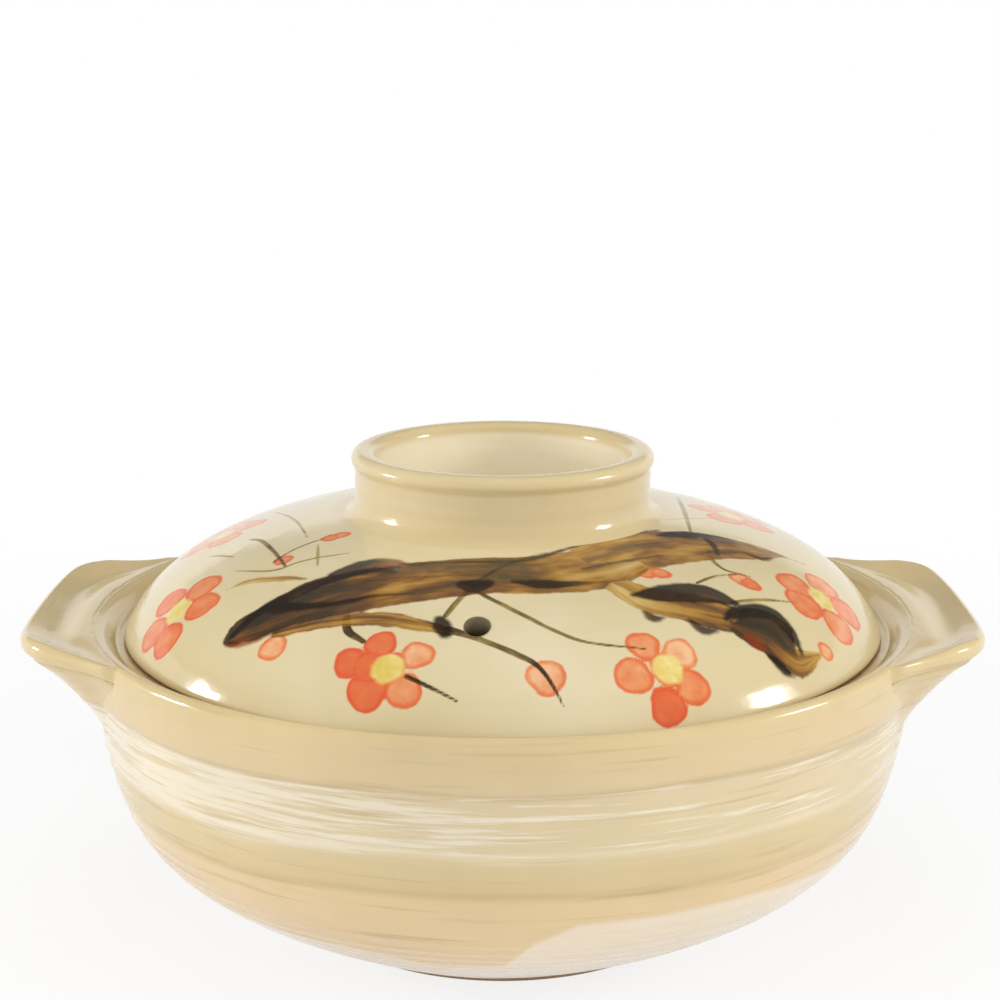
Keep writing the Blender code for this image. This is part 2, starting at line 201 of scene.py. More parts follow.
# A blossom or bud: its middle, then its petals: offset to the right and to the back, radius, wash
BLOSSOMS = (
    ((-32.2, -105.3), ((0, 0, 5.4, .5), (8.5, 2.9, 4.9, .3), (4.3, -7.8, 5.4, .4),
                       (-10.6, 4.4, 5.2, .9), (-6.2, -5.8, 6.2, .85), (-5.2, 1.6, 5.4, .9),
                       (-1.9, 8.8, 4.9, .8))),
    ((46.6, -102), ((0, 0, 5.4, .2), (3.4, 6.6, 5.2, .15), (-7.3, 6.2, 5.2, .4),
                    (-10, -4.8, 5.8, .4), (7.8, -3.4, 5.6, .5), (1, -11.4, 5.8, .9))),
    ((-99, -47), ((-4, -11, 6.4, .6), (-10, -1.5, 6.2, .5), (-3.5, 9.5, 6.2, .55),
                  (8.5, 6, 6.4, .5), (9, -5.5, 6.2, .6))),
    ((97, -42), ((-9, .5, 6.4, .45), (-6.5, -9.5, 6.6, .55), (6, -9.5, 6.6, .4),
                 (10, 3, 6.4, .45), (1, 10, 6.2, .35))),
    ((-90, 8), ((-8, -4, 6, .3), (2, -9, 5.8, .35), (9, 1, 6, .3), (3, 9, 6, .25),
                (-7, 7, 6, .25))),
    ((73, 13), ((-8, 3, 5.6, .3), (-3, -8, 5.8, .35), (8, -6, 5.6, .35), (8, 5, 5.6, .3),
                (-1, 9, 5.6, .25))),
    ((-65, -87), ((-1, 0, 4.6, .2),)),
    ((12.6, -111), ((-.5, 0, 5.6, .2),)),
    ((71, -52), ((-1, .5, 3.8, .3), (1.8, -1, 3.4, .6))),
    ((44, -60), ((-3, 0, 3.4, .5), (1.5, 1, 3.2, .4))),
    ((98, -68), ((0, 0, 3.4, .2),)),
    ((-50, -29), ((-1.5, -.5, 3, .45), (1.8, .8, 2.8, .4))),
    ((-65, -41), ((0, 0, 3.2, .35),)),
)


def bezier(start, start_handle, end_handle, end, count=80):
    """Points of one Bezier curve in the (radius, height) plane."""
    t = np.linspace(0, 1, count)[:, None]
    corners = [np.array(corner, float) for corner in (start, start_handle, end_handle, end)]
    weights = ((1 - t) ** 3, 3 * (1 - t) ** 2 * t, 3 * (1 - t) * t ** 2, t ** 3)
    return sum(weight * corner for weight, corner in zip(weights, corners))


def arc(centre, radius, start, end, count=12):
    """Points of an arc in the (radius, height) plane, angles in degrees from straight out."""
    angles = np.radians(np.linspace(start, end, count))
    return np.array(centre) + radius * np.stack([np.cos(angles), np.sin(angles)], axis=1)


def moved_inward(outline, distance):
    """An outline that runs down its outer side, moved towards the clay by a distance."""
    along = np.gradient(outline, axis=0)
    along /= np.linalg.norm(along, axis=1)[:, None]
    return outline + distance * np.stack([along[:, 1], -along[:, 0]], axis=1)


def stretch(points, spacing, thrown=0.0, bare=0.0, inner=0.0):
    """Rows along one stretch of an outline: radius, height and the finish that it carries.

    thrown is the share of throwing ridges, bare of unglazed clay, inner marks the cooking side.
    """
    points = np.array(points, float)
    reach = np.concatenate([[0], np.cumsum(np.hypot(*np.diff(points, axis=0).T))])
    at = np.linspace(0, reach[-1], max(round(reach[-1] / spacing), 1) + 1)
    finish = [np.full(len(at), share) for share in (thrown, bare, inner)]
    place = [np.interp(at, reach, column) for column in points.T[:2]]
    return np.stack(place + finish, axis=1)


def joined(stretches, passes, ring=False):
    """One outline of several stretches, with its corners and finishes eased as glaze eases them."""
    rows = np.vstack(stretches)
    gaps = np.hypot(*np.diff(rows[:, :2], axis=0).T)
    rows = rows[np.concatenate([[True], gaps > 0.0001])]
    if ring:
        if np.hypot(*(rows[0] - rows[-1])[:2]) < 0.0001:
            rows = rows[:-1]
        for _ in range(passes):
            rows = (np.roll(rows, 1, axis=0) + 2 * rows + np.roll(rows, -1, axis=0)) / 4
        rows = np.vstack([rows, rows[:1]])
    else:
        for _ in range(passes):
            rows[1:-1] = (rows[:-2] + 2 * rows[1:-1] + rows[2:]) / 4
    reach = np.concatenate([[0], np.cumsum(np.hypot(*np.diff(rows[:, :2], axis=0).T))])
    return np.column_stack([rows, reach])


def pot_wall():
    """Outside of the pot from under the rim band down to the foot."""
    top = (RIM_RADIUS - BAND_STEP, RIM_HEIGHT - BAND_HEIGHT)
    foot = (FOOT_RADIUS, FOOT_HEIGHT)
    return bezier(top, (top[0] - WALL_LEAN, top[1] - WALL_DROP),
                  (foot[0] + BELLY_REACH, foot[1] + BELLY_RISE), foot, 160)


def bowl_outline():
    """From the middle of the floor up the inside, over the gallery and rim and down to the base."""
    wall = pot_wall()
    inner = moved_inward(wall, WALL_THICKNESS)[::-1]
    inner = inner[(inner[:, 1] > FLOOR_Z) & (inner[:, 1] < LEDGE_Z - 2 * LEDGE_LIP)]
    gallery_mark = GALLERY_RADIUS + GALLERY_FLARE * 0.3
    mark_z = LEDGE_Z + GALLERY_DEPTH * 0.3
    lip = arc((RIM_RADIUS - LIP_ROUND, RIM_HEIGHT + LIP_CROWN - LIP_ROUND), LIP_ROUND, 90, 0)
    band_low = (RIM_RADIUS, RIM_HEIGHT - BAND_HEIGHT + BAND_STEP)
    stand = FOOT_RADIUS - FOOT_CHAMFER
    foot = [(FOOT_RADIUS, FOOT_HEIGHT), (stand, 0), (stand - FOOT_WIDTH, 0)]
    recess = [(stand - FOOT_WIDTH - BASE_RECESS, BASE_RECESS), (0, BASE_RECESS)]
    return joined([
        stretch([(0, FLOOR_Z), (inner[0][0], FLOOR_Z)], 0.0026, thrown=0.5, inner=1),
        stretch(inner, 0.0022, thrown=1, inner=1),
        stretch([inner[-1], (LEDGE_RADIUS, LEDGE_Z - LEDGE_LIP)], 0.0009, inner=1),
        stretch([(LEDGE_RADIUS, LEDGE_Z - LEDGE_LIP), (LEDGE_RADIUS, LEDGE_Z)], 0.0005, inner=1),
        stretch([(LEDGE_RADIUS, LEDGE_Z), (LID_RADIUS, LEDGE_Z)], 0.0005, bare=1),
        stretch([(LID_RADIUS, LEDGE_Z), (GALLERY_RADIUS, LEDGE_Z), (gallery_mark, mark_z),
                 (RIM_RADIUS - LIP_WIDTH, RIM_HEIGHT), lip[0]], 0.0005),
        stretch(lip, 0.0004),
        stretch([lip[-1], band_low], 0.0007, thrown=0.5),
        stretch([band_low, wall[0]], 0.0004, thrown=0.6),
        stretch(wall[:-4], 0.0009, thrown=1),
        stretch([wall[-4], foot[0]], 0.0005, bare=0.5),
        stretch(foot + recess[:1], 0.0005, bare=1),
        stretch(recess, 0.003, thrown=0.6, bare=1),
    ], passes=3)


def dome_line():
    """Outside of the lid from its crown down to where it is widest."""
    edge = (LID_RADIUS, LID_EDGE_Z)
    return bezier((0, LID_TOP.z), (LID_TOP_PULL, LID_TOP.z),
                  (edge[0] - LID_SIDE_LEAN, edge[1] + LID_SIDE_PULL), edge, 160)


def lid_outline():
    """From the crown down the outside, round the seat and back up the hollow of the lid."""
    dome = dome_line()
    hollow = moved_inward(dome, LID_THICKNESS)[::-1]
    hollow[-1, 0] = 0
    hollow = hollow[hollow[:, 1] > LID_SEAT_Z + LID_SEAT_ROUND]
    covered = dome[dome[:, 0] < KNOB_RADIUS * 0.9]
    shown = dome[len(covered) - 1:]
    seat = [(LID_RADIUS, LID_SEAT_Z + LID_SEAT_ROUND), (LID_RADIUS - LID_SEAT_ROUND, LID_SEAT_Z),
            (hollow[0][0] - LID_SEAT_ROUND * 0.5, LID_SEAT_Z)]
    return joined([
        stretch(covered, 0.003, thrown=0.4),
        stretch(shown, 0.00078, thrown=0.4),
        stretch([shown[-1], seat[0]], 0.0004),
        stretch(seat, 0.0005, bare=1),
        stretch([seat[-1], hollow[0]], 0.0005, bare=0.5, inner=1),
        stretch(hollow, 0.0036, thrown=1, inner=1),
    ], passes=2)


def knob_outline():
    """The ring knob's closed outline, from the top of its lip down the outside and back up."""
    dome = dome_line()
    neck = KNOB_RADIUS - KNOB_NECK_INSET
    foot = neck + KNOB_FOOT_FLARE
    inner = KNOB_RADIUS - KNOB_WALL
    recess = inner - KNOB_INNER_LEAN
    on_dome = [(r, np.interp(r, dome[:, 0], dome[:, 1]) - KNOB_SUNK) for r in (foot, recess)]
    lip = arc((KNOB_RADIUS - KNOB_LIP_ROUND, KNOB_TOP.z - KNOB_LIP_ROUND), KNOB_LIP_ROUND, 90, -50, 16)
    neck_top = (neck, KNOB_TOP.z - KNOB_LIP_HEIGHT)
    neck_low = (neck, on_dome[0][1] + KNOB_FOOT_HEIGHT)
    flare = bezier(neck_low, (neck, on_dome[0][1] + KNOB_FOOT_HEIGHT * 0.35),
                   (neck + KNOB_FOOT_FLARE * 0.45, on_dome[0][1] + KNOB_SUNK), on_dome[0])
    throat = arc((inner + KNOB_THROAT_ROUND, KNOB_TOP.z - KNOB_THROAT_ROUND), KNOB_THROAT_ROUND, 180, 90)
    return joined([
        stretch(lip, 0.0005, thrown=0.3),
        stretch([lip[-1], neck_top, neck_low], 0.0006, thrown=1),
        stretch(flare, 0.0005, thrown=0.5),
        stretch(on_dome, 0.003),
        stretch([on_dome[1], throat[0]], 0.0008, thrown=0.3, inner=1),
        stretch(throat, 0.0004, thrown=0.3),
        stretch([throat[-1], lip[0]], 0.0006, thrown=0.3),
    ], passes=3, ring=True)


FINISHES = ("thrown", "bare", "inner", "reach")


def add(tree, kind, inputs=None, **settings):
    """Add one node to a tree: its settings by name, its inputs as values, sockets or nodes."""
    node = tree.nodes.new(kind)
    for name, value in settings.items():
        if name == "stops":
            for at, hue in value[len(node.color_ramp.elements):]:
                node.color_ramp.elements.new(at)
            for element, (at, hue) in zip(node.color_ramp.elements, value):
                element.position, element.color = at, hue
        else:
            setattr(node, name, value)
    for key, value in (inputs or {}).items():
        if isinstance(value, bpy.types.Node):
            value = next(socket for socket in value.outputs if socket.enabled)
        if isinstance(value, bpy.types.NodeSocket):
            tree.links.new(value, node.inputs[key])
        else:
            node.inputs[key].default_value = value
    return node


def potters_wheel():
    """Geometry Nodes tree that turns an outline round the pot's axis and leaves throwing ridges.

    Each outline point becomes a row of a grid. Front Detail crowds the columns towards the
    front. The ridges run as one spiral, as fingers leave them, and follow the outline's reach.
    They wander over 70 mm and deepen and fade over 33 mm.
    """
    tree = bpy.data.node_groups.new("potter's wheel", "GeometryNodeTree")
    tree.interface.new_socket("Outline", in_out="INPUT", socket_type="NodeSocketGeometry")
    for name in ("Front Detail", "Ridge Depth", "Ridge Spacing", "Wobble"):
        tree.interface.new_socket(name, in_out="INPUT", socket_type="NodeSocketFloat")
    for name in ("Steps", "Seed"):
        tree.interface.new_socket(name, in_out="INPUT", socket_type="NodeSocketInt")
    tree.interface.new_socket("Glaze", in_out="INPUT", socket_type="NodeSocketMaterial")
    tree.interface.new_socket("Pot", in_out="OUTPUT", socket_type="NodeSocketGeometry")
    given = add(tree, "NodeGroupInput").outputs

    size = add(tree, "GeometryNodeAttributeDomainSize", {0: given["Outline"]}, component="MESH")
    rows = size.outputs["Point Count"]
    columns = add(tree, "ShaderNodeMath", {0: given["Steps"], 1: 1}, operation="ADD")
    grid = add(tree, "GeometryNodeMeshGrid", {"Vertices X": columns, "Vertices Y": rows})
    index = add(tree, "GeometryNodeInputIndex")
    row = add(tree, "ShaderNodeMath", {0: index, 1: rows}, operation="MODULO")
    share = add(tree, "ShaderNodeMath", {0: index, 1: rows}, operation="DIVIDE")
    column = add(tree, "ShaderNodeMath", {0: share}, operation="FLOOR")
    turn = add(tree, "ShaderNodeMath", {0: column, 1: given["Steps"]}, operation="DIVIDE")
    even = add(tree, "ShaderNodeMath", {0: turn, 1: math.tau}, operation="MULTIPLY")
    bend = add(tree, "ShaderNodeMath", {0: even}, operation="SINE")
    angle = add(tree, "ShaderNodeMath", {0: bend, 1: given["Front Detail"], 2: even},
                operation="MULTIPLY_ADD")

    shape = grid.outputs["Mesh"]
    for name in FINISHES:
        value = add(tree, "GeometryNodeInputNamedAttribute", {"Name": name}, data_type="FLOAT")
        sample = add(tree, "GeometryNodeSampleIndex", {0: given["Outline"], 1: value, 2: row},
                     data_type="FLOAT")
        shape = add(tree, "GeometryNodeStoreNamedAttribute",
                    {"Geometry": shape, "Name": name, "Value": sample},
                    data_type="FLOAT", domain="POINT").outputs[0]
    place = add(tree, "GeometryNodeInputPosition")
    sample = add(tree, "GeometryNodeSampleIndex", {0: given["Outline"], 1: place, 2: row},
                 data_type="FLOAT_VECTOR")
    outline_point = add(tree, "ShaderNodeSeparateXYZ", {0: sample}).outputs
    sine = add(tree, "ShaderNodeMath", {0: angle}, operation="SINE")
    cosine = add(tree, "ShaderNodeMath", {0: angle}, operation="COSINE")
    x = add(tree, "ShaderNodeMath", {0: outline_point["X"], 1: sine}, operation="MULTIPLY")
    y = add(tree, "ShaderNodeMath", {0: outline_point["X"], 1: cosine}, operation="MULTIPLY")
    turned = add(tree, "ShaderNodeCombineXYZ", {0: x, 1: y, 2: outline_point["Z"]})
    shape = add(tree, "GeometryNodeSetPosition", {"Geometry": shape, "Position": turned})
    shape = add(tree, "GeometryNodeMergeByDistance", {"Geometry": shape, "Distance": 0.00001})

    reach = add(tree, "GeometryNodeInputNamedAttribute", {"Name": "reach"}, data_type="FLOAT")
    thrown = add(tree, "GeometryNodeInputNamedAttribute", {"Name": "thrown"}, data_type="FLOAT")
    spot = add(tree, "ShaderNodeSeparateXYZ", {0: place}).outputs
    facing = add(tree, "ShaderNodeMath", {0: spot["X"], 1: spot["Y"]}, operation="ARCTAN2")
    part_turn = add(tree, "ShaderNodeMath", {0: facing, 1: math.tau}, operation="DIVIDE")
    climb = add(tree, "ShaderNodeMath", {0: reach, 1: given["Ridge Spacing"]}, operation="DIVIDE")
    spiral = add(tree, "ShaderNodeMath", {0: climb, 1: part_turn}, operation="ADD")
    drift = add(tree, "ShaderNodeTexNoise",
                {"Vector": place, "W": given["Seed"], "Scale": 14.0, "Detail": 1.0},
                noise_dimensions="4D")
    wander = add(tree, "ShaderNodeMath", {0: drift, 1: 1.6, 2: spiral}, operation="MULTIPLY_ADD")
    phase = add(tree, "ShaderNodeMath", {0: wander, 1: math.tau}, operation="MULTIPLY")
    wave = add(tree, "ShaderNodeMath", {0: phase}, operation="SINE")
    pressure = add(tree, "ShaderNodeTexNoise",
                   {"Vector": place, "W": given["Seed"], "Scale": 30.0, "Detail": 2.0},
                   noise_dimensions="4D")
    pressed = add(tree, "ShaderNodeMath", {0: wave, 1: pressure}, operation="MULTIPLY")
    ridge = add(tree, "ShaderNodeMath", {0: pressed, 1: given["Ridge Depth"]}, operation="MULTIPLY")
    swell = add(tree, "ShaderNodeMath", {0: drift, 1: 0.5}, operation="SUBTRACT")
    ridged = add(tree, "ShaderNodeMath", {0: swell, 1: given["Wobble"], 2: ridge}, operation="MULTIPLY_ADD")
    height = add(tree, "ShaderNodeMath", {0: ridged, 1: thrown}, operation="MULTIPLY")
    normal = add(tree, "GeometryNodeInputNormal")
    push = add(tree, "ShaderNodeVectorMath", {0: normal, "Scale": height}, operation="SCALE")
    shape = add(tree, "GeometryNodeSetPosition", {"Geometry": shape, "Offset": push})
    shape = add(tree, "GeometryNodeSetShadeSmooth", {"Geometry": shape})
    shape = add(tree, "GeometryNodeRealizeInstances", {"Geometry": shape})
    shape = add(tree, "GeometryNodeSetMaterial", {"Geometry": shape, "Material": given["Glaze"]})
    add(tree, "NodeGroupOutput", {0: shape})
    return tree


def place_in_scene(name, mesh):
    obj = bpy.data.objects.new(name, mesh)
    bpy.context.scene.collection.objects.link(obj)
    return obj


def throw(wheel, name, outline, settings):
    """Turn an outline on the wheel and keep the result as a plain mesh."""
    mesh = bpy.data.meshes.new(name + "_outline")
    points = [(r, 0, z) for r, z in outline[:, :2]]
    mesh.from_pydata(points, [(i, i + 1) for i in range(len(points) - 1)], [])
    for name_of_finish, column in zip(FINISHES, outline[:, 2:].T):
        mesh.attributes.new(name_of_finish, "FLOAT", "POINT").data.foreach_set("value", column)
    blank = place_in_scene(name + "_outline", mesh)
    turning = blank.modifiers.new("wheel", "NODES")
    turning.node_group = wheel
    for socket in wheel.interface.items_tree:
        if socket.name in settings:
            turning[socket.identifier] = settings[socket.name]
    depsgraph = bpy.context.evaluated_depsgraph_get()
    thrown = bpy.data.meshes.new_from_object(
        blank.evaluated_get(depsgraph), preserve_all_data_layers=True, depsgraph=depsgraph)
    bpy.data.objects.remove(blank, do_unlink=True)
    return place_in_scene(name, thrown)


def skin_distance(points, skin):
    """Distance of points from the bowl's outside, positive outside the clay, and where that is.

    The nearest place on the skin and the direction out of it come with the distance.
    """
    radius = np.hypot(points[:, 0], points[:, 1])
    flat = np.stack([radius, points[:, 2]], axis=1)
    start, step = skin[:-1], np.diff(skin, axis=0)
    offset = flat[:, None] - start[None]
    share = np.clip((offset * step).sum(2) / (step ** 2).sum(1), 0, 1)
    gap = offset - share[..., None] * step
    distance = np.linalg.norm(gap, axis=2)
    best = distance.argmin(1)
    at = np.arange(len(flat))
    outward = np.stack([-step[best, 1], step[best, 0]], axis=1)
    outward /= np.linalg.norm(outward, axis=1)[:, None]
    sign = np.where((gap[at, best] * outward).sum(1) < 0, -1, 1)
    around = points[:, :2] / radius[:, None]
    direction = np.column_stack([around * outward[:, :1], outward[:, 1]])
    nearest = start[best] + share[at, best][:, None] * step[best]
    place = np.column_stack([around * nearest[:, :1], nearest[:, 1]])
    return distance[at, best] * sign, place, direction


def lug_rows():
    """Rows of a lug's skin: inset from its outline, height over the rim's inner edge, taper, fillet.

    They run from inside the rim over the thumb hollow, round the edge and back under it.
    """
    reach = LUG_REACH + LUG_TUCK
    under = LUG_RISE - LUG_EDGE
    knots = ((1.0, LUG_FLUSH), (0.7, LUG_FLUSH), (0.5, -LUG_DISH), (0.34, -LUG_DISH / 2),
             (0.21, LUG_RISE * 0.4), (0.12, LUG_RISE * 0.8), (0.06, LUG_RISE))
    shares = np.concatenate([np.linspace(1, 0.62, 12), np.linspace(0.58, LUG_EDGE_ROUND / reach, 18)])
    heights = smooth_line([(share * 100, height) for share, height in knots], 1.0)[::-1]
    rows = [(share * reach, np.interp(share * 100, heights[:, 0], heights[:, 1]), 1, 0) for share in shares]
    edge = np.radians(np.linspace(80, -70, 13))
    for angle in edge:
        middle = LUG_RISE - LUG_EDGE_ROUND if angle > 0 else under + LUG_EDGE_ROUND
        rows.append((LUG_EDGE_ROUND * (1 - math.cos(angle)), middle + LUG_EDGE_ROUND * math.sin(angle), 1,
                     (edge[0] - angle) / (edge[0] - edge[-1])))
    for share in np.linspace(0.03, 1, 26):
        inset = LUG_EDGE_ROUND + (reach - LUG_EDGE_ROUND) * share
        rows.append((inset, under - LUG_UNDERCUT * (inset / LUG_REACH) ** LUG_HOLLOW, LUG_TAPER, 1))
    return rows


def lug_outline(inset, taper):
    """Evenly spaced points round a lug seen from above, the tip at +X, both ends inside the rim."""
    root = RIM_RADIUS - LUG_ROOT_DEPTH
    length = LUG_REACH + LUG_ROOT_DEPTH
    angle = np.linspace(-math.pi / 2, math.pi / 2, 1200)
    x = root + (length - inset) * np.abs(np.cos(angle)) ** (2 / LUG_SQUARENESS)
    flare = LUG_FLARE * ((root + length - x) / length) ** 2
    side = np.copysign(np.abs(np.sin(angle)) ** (2 / LUG_SQUARENESS), angle)
    y = side * (LUG_HALF_WIDTH - inset * taper + flare)
    bow = np.maximum(1 - (y / LUG_HALF_WIDTH) ** 2, 0)
    x = x + LUG_BOW * bow * np.clip((x - RIM_RADIUS) / LUG_REACH, 0, 1)
    reach = np.concatenate([[0], np.cumsum(np.hypot(np.diff(x), np.diff(y)))])
    at = np.linspace(0, reach[-1], LUG_COLUMNS)
    return np.stack([np.interp(at, reach, x), np.interp(at, reach, y)])


def lug_flow():
    """How far each point of a lug's edge moves out, so that the sides flow into the round rim."""
    edge = lug_outline(0, 1)
    along = np.gradient(edge, axis=1)
    outward = np.stack([along[1], -along[0]]) / np.hypot(*along)
    start = np.hypot(*edge) - RIM_RADIUS
    swell = np.zeros(LUG_COLUMNS)
    for _ in range(60):
        gap = np.hypot(*(edge + outward * swell)) - RIM_RADIUS
        overlap = np.maximum(LUG_FLOW - np.abs(swell - gap), 0)
        blended = np.minimum(swell, gap) - overlap ** 2 / LUG_FLOW / 4
        swell = np.clip(swell - 0.8 * blended, 0, LUG_FLOW)
    outside = np.clip(1 + start / (LUG_FLOW / 2), 0, 1)
    return outward * swell * outside ** 2 * (3 - 2 * outside)


def lug_row(inset, height, taper, fillet, flow):
    """One row of points round a lug, faded into the rim's height where it leaves the rim."""
    x, y = lug_outline(inset, taper) + flow * np.clip(1 - inset / LUG_REACH, 0, 1)
    out = (np.hypot(x, y) - RIM_RADIUS) / (LUG_REACH * LUG_FADE)
    fade = np.clip(out, 0 if height > LUG_FLUSH or fillet == 0 else 1, 1)
    curl = LUG_CURL * np.exp(-((np.abs(y) / LUG_HALF_WIDTH - 0.8) / 0.2) ** 2)
    height = height + curl * np.clip(1 - inset / LUG_REACH, 0, 1)
    return np.stack([x, y, RIM_HEIGHT + LUG_FLUSH + (height - LUG_FLUSH) * fade], axis=1)


def grid_normals(grid):
    """Outward directions of a grid of points, rows by columns."""
    along = np.gradient(grid, axis=1)
    down = np.gradient(grid, axis=0)
    normal = np.cross(down, along)
    return normal / np.maximum(np.linalg.norm(normal, axis=2), 1e-12)[..., None]


def with_fillet(grid, fillet, skin):
    """A lug's skin, swollen near the bowl so that it runs into the bowl's wall without a crease.

    The two surfaces are blended as wiped slip fills a joint: each point moves out along its own
    direction until the smooth minimum of both distances is nought. The fillet fades out inside
    the clay, its thin end is sunk, and what lies deep is drawn together just under the skin.
    """
    points = grid.reshape(-1, 3)
    outward = grid_normals(grid).reshape(-1, 3)
    radius = np.repeat(np.maximum(fillet, 0.01) * LUG_FILLET, LUG_COLUMNS)
    start, _, _ = skin_distance(points, skin)
    swell = np.zeros(len(points))
    for _ in range(40):
        bowl, _, _ = skin_distance(points + outward * swell[:, None], skin)
        overlap = np.maximum(radius - np.abs(swell - bowl), 0)
        blended = np.minimum(swell, bowl) - overlap ** 2 / radius / 4
        swell = np.clip(swell - 0.8 * blended, 0, radius)
    shown = np.clip((start / LUG_FILLET + 1) / 0.35, 0, 1)
    points = points + outward * (swell * shown ** 2 * (3 - 2 * shown))[:, None]
    bowl, place, direction = skin_distance(points, skin)
    thin = np.clip(1 - bowl / LUG_SUNK / 4, 0, 1) * (radius > LUG_FILLET / 2)
    points = points - direction * (LUG_SUNK * thin)[:, None]
    bowl, place, direction = skin_distance(points, skin)
    points = np.where(bowl[:, None] < -LUG_BURIED, place - direction * LUG_BURIED, points)
    crown = skin[0]
    around = np.hypot(points[:, 0], points[:, 1])
    inward = crown[0] - around
    depth = np.minimum(inward, LUG_BURIED)
    drawn = np.column_stack([points[:, :2] * ((crown[0] - depth) / around)[:, None],
                             np.minimum(points[:, 2], crown[1]) - depth])
    return np.where(inward[:, None] > 0, drawn, points).reshape(grid.shape)


def lug_grid(skin):
    """Closed rows of points of the lug towards +X, its root inside the bowl's wall."""
    rows = lug_rows()
    flow = lug_flow()
    grid = with_fillet(np.array([lug_row(*row, flow) for row in rows]), [row[3] for row in rows], skin)
    back = [grid[-1] + (grid[0] - grid[-1]) * share for share in (0.25, 0.5, 0.75)]
    return np.concatenate([grid, np.array(back)])


def make_lug(name, grid, side, glaze):
    """A lug handle towards +X or -X."""
    grid = grid * (side, 1, 1)
    bm = bmesh.new()
    rows = [[bm.verts.new(point) for point in row] for row in grid]
    for upper, lower in zip(rows, rows[1:] + rows[:1]):
        for i in range(LUG_COLUMNS - 1):
            bm.faces.new((upper[i], lower[i], lower[i + 1], upper[i + 1]))
    for end in (0, -1):
        bm.faces.new([row[end] for row in rows])
    bmesh.ops.recalc_face_normals(bm, faces=bm.faces)
    mesh = bpy.data.meshes.new(name)
    bm.to_mesh(mesh)
    bm.free()
    mesh.shade_smooth()
    mesh.materials.append(glaze)
    return place_in_scene(name, mesh)


def bore_steam_hole(lid):
    """Cut the steam hole through the lid, its glazed edge rounding down into the hole."""
    turn = math.radians(STEAM_HOLE_TURN)
    centre = Vector((math.sin(turn), -math.cos(turn))) * STEAM_HOLE_DISTANCE
    bm = bmesh.new()
    bm.from_mesh(lid.data)
    bored = bm.verts.layers.float.new("bored")
    inside = [vert for vert in bm.verts if (vert.co.xy - centre).length < STEAM_HOLE_RADIUS]
    bmesh.ops.delete(bm, geom=inside, context="VERTS")
    edges = [edge for edge in bm.edges if edge.is_boundary]
    for vert in {vert for edge in edges for vert in edge.verts}:
        away = (vert.co.xy - centre).normalized()
        move = centre + away * STEAM_HOLE_RADIUS - vert.co.xy
        fall = -(vert.normal.xy @ move) / vert.normal.z
        vert.co += Vector((move.x, move.y, fall))
        vert[bored] = 1
    for vert in bm.verts:
        rest = (vert.co.xy - centre).length - STEAM_HOLE_RADIUS
        if rest < STEAM_EDGE and vert.normal.z > 0:
            vert.co.z -= STEAM_EDGE * 0.4 * (1 - rest / STEAM_EDGE) ** 2
    bmesh.ops.bridge_loops(bm, edges=edges)
    bm.to_mesh(lid.data)
    bm.free()
    lid.data.shade_smooth()


FAR = 99.0                            # mm, further from a stroke than anything looks


def smooth_line(points, spacing):
    """Samples along a smooth line through given points, all their columns carried along."""
    points = np.array(points, float)
    ends = np.vstack([2 * points[0] - points[1], points, 2 * points[-1] - points[-2]])
    rows = []
    for a, b, c, d in zip(ends, ends[1:], ends[2:], ends[3:]):
        count = max(round(float(np.hypot(*(c - b)[:2])) / spacing), 2)
        t = np.linspace(0, 1, count, endpoint=False)[:, None]
        rows.append(b + 0.5 * t * (c - a + t * (2 * a - 5 * b + 4 * c - d + t * (3 * (b - c) + d - a))))
    return np.vstack(rows + [points[-1:]])


def brush(plan, strokes):
    """Where every point of the lid lies in the nearest stroke of one layer of paint.

    Columns: distance across in half widths, signed; distance outside the stroke and distance
    along it in mm; tone.
    """
    paint = np.tile([FAR, FAR, 0.0, 0.0], (len(plan), 1))
    for stroke in strokes:
        line = smooth_line(stroke, 1.0)
        margin = line[:, 2].max() + 3
        near = ((plan > line[:, :2].min(0) - margin) & (plan < line[:, :2].max(0) + margin)).all(1)
        chosen = np.flatnonzero(near)
        step = np.diff(line, axis=0)
        offset = plan[chosen, None] - line[None, :-1, :2]
        share = np.clip((offset * step[:, :2]).sum(2) / (step[:, :2] ** 2).sum(1), 0, 1)
        gap = offset - share[..., None] * step[:, :2]
        distance = np.hypot(gap[..., 0], gap[..., 1])
        best = distance.argmin(1)
        at = np.arange(len(chosen))
        share = share[at, best][:, None]
        offset = offset[at, best]
        here = line[best] + share * step[best]
        side = np.sign(step[best, 0] * offset[:, 1] - step[best, 1] * offset[:, 0])
        half = np.maximum(here[:, 2], 0.08)
        reach = np.concatenate([[0], np.cumsum(np.hypot(step[:, 0], step[:, 1]))])[best] + share[:, 0]
        distance = distance[at, best]
        found = np.stack([side * distance / half, distance - half, reach, here[:, 3]], axis=1)
        closer = found[:, 1] < paint[chosen, 1]
        paint[chosen[closer]] = found[closer]
    return paint


def petals(plan, blossoms):
    """Blossoms and buds: distance inside the petals in mm, wash strength and place in the petal.

    A later petal lies over the ones before it, with its own outline.
    """
    paint = np.tile([-FAR, 0.0, 0.0], (len(plan), 1))
    for middle, washes in blossoms:
        for across, back, radius, wash in washes:
            offset = plan - (np.array(middle) + (across, back))
            distance = np.hypot(offset[:, 0], offset[:, 1])
            lobes = 1 + 0.05 * np.sin(3 * np.arctan2(offset[:, 1], offset[:, 0]) + across)
            inside = radius * lobes - distance
            closer = (inside > 0.4) | (inside > paint[:, 0])
            paint[closer] = np.stack([inside, np.full(len(plan), wash), distance / radius], axis=1)[closer]
    return paint


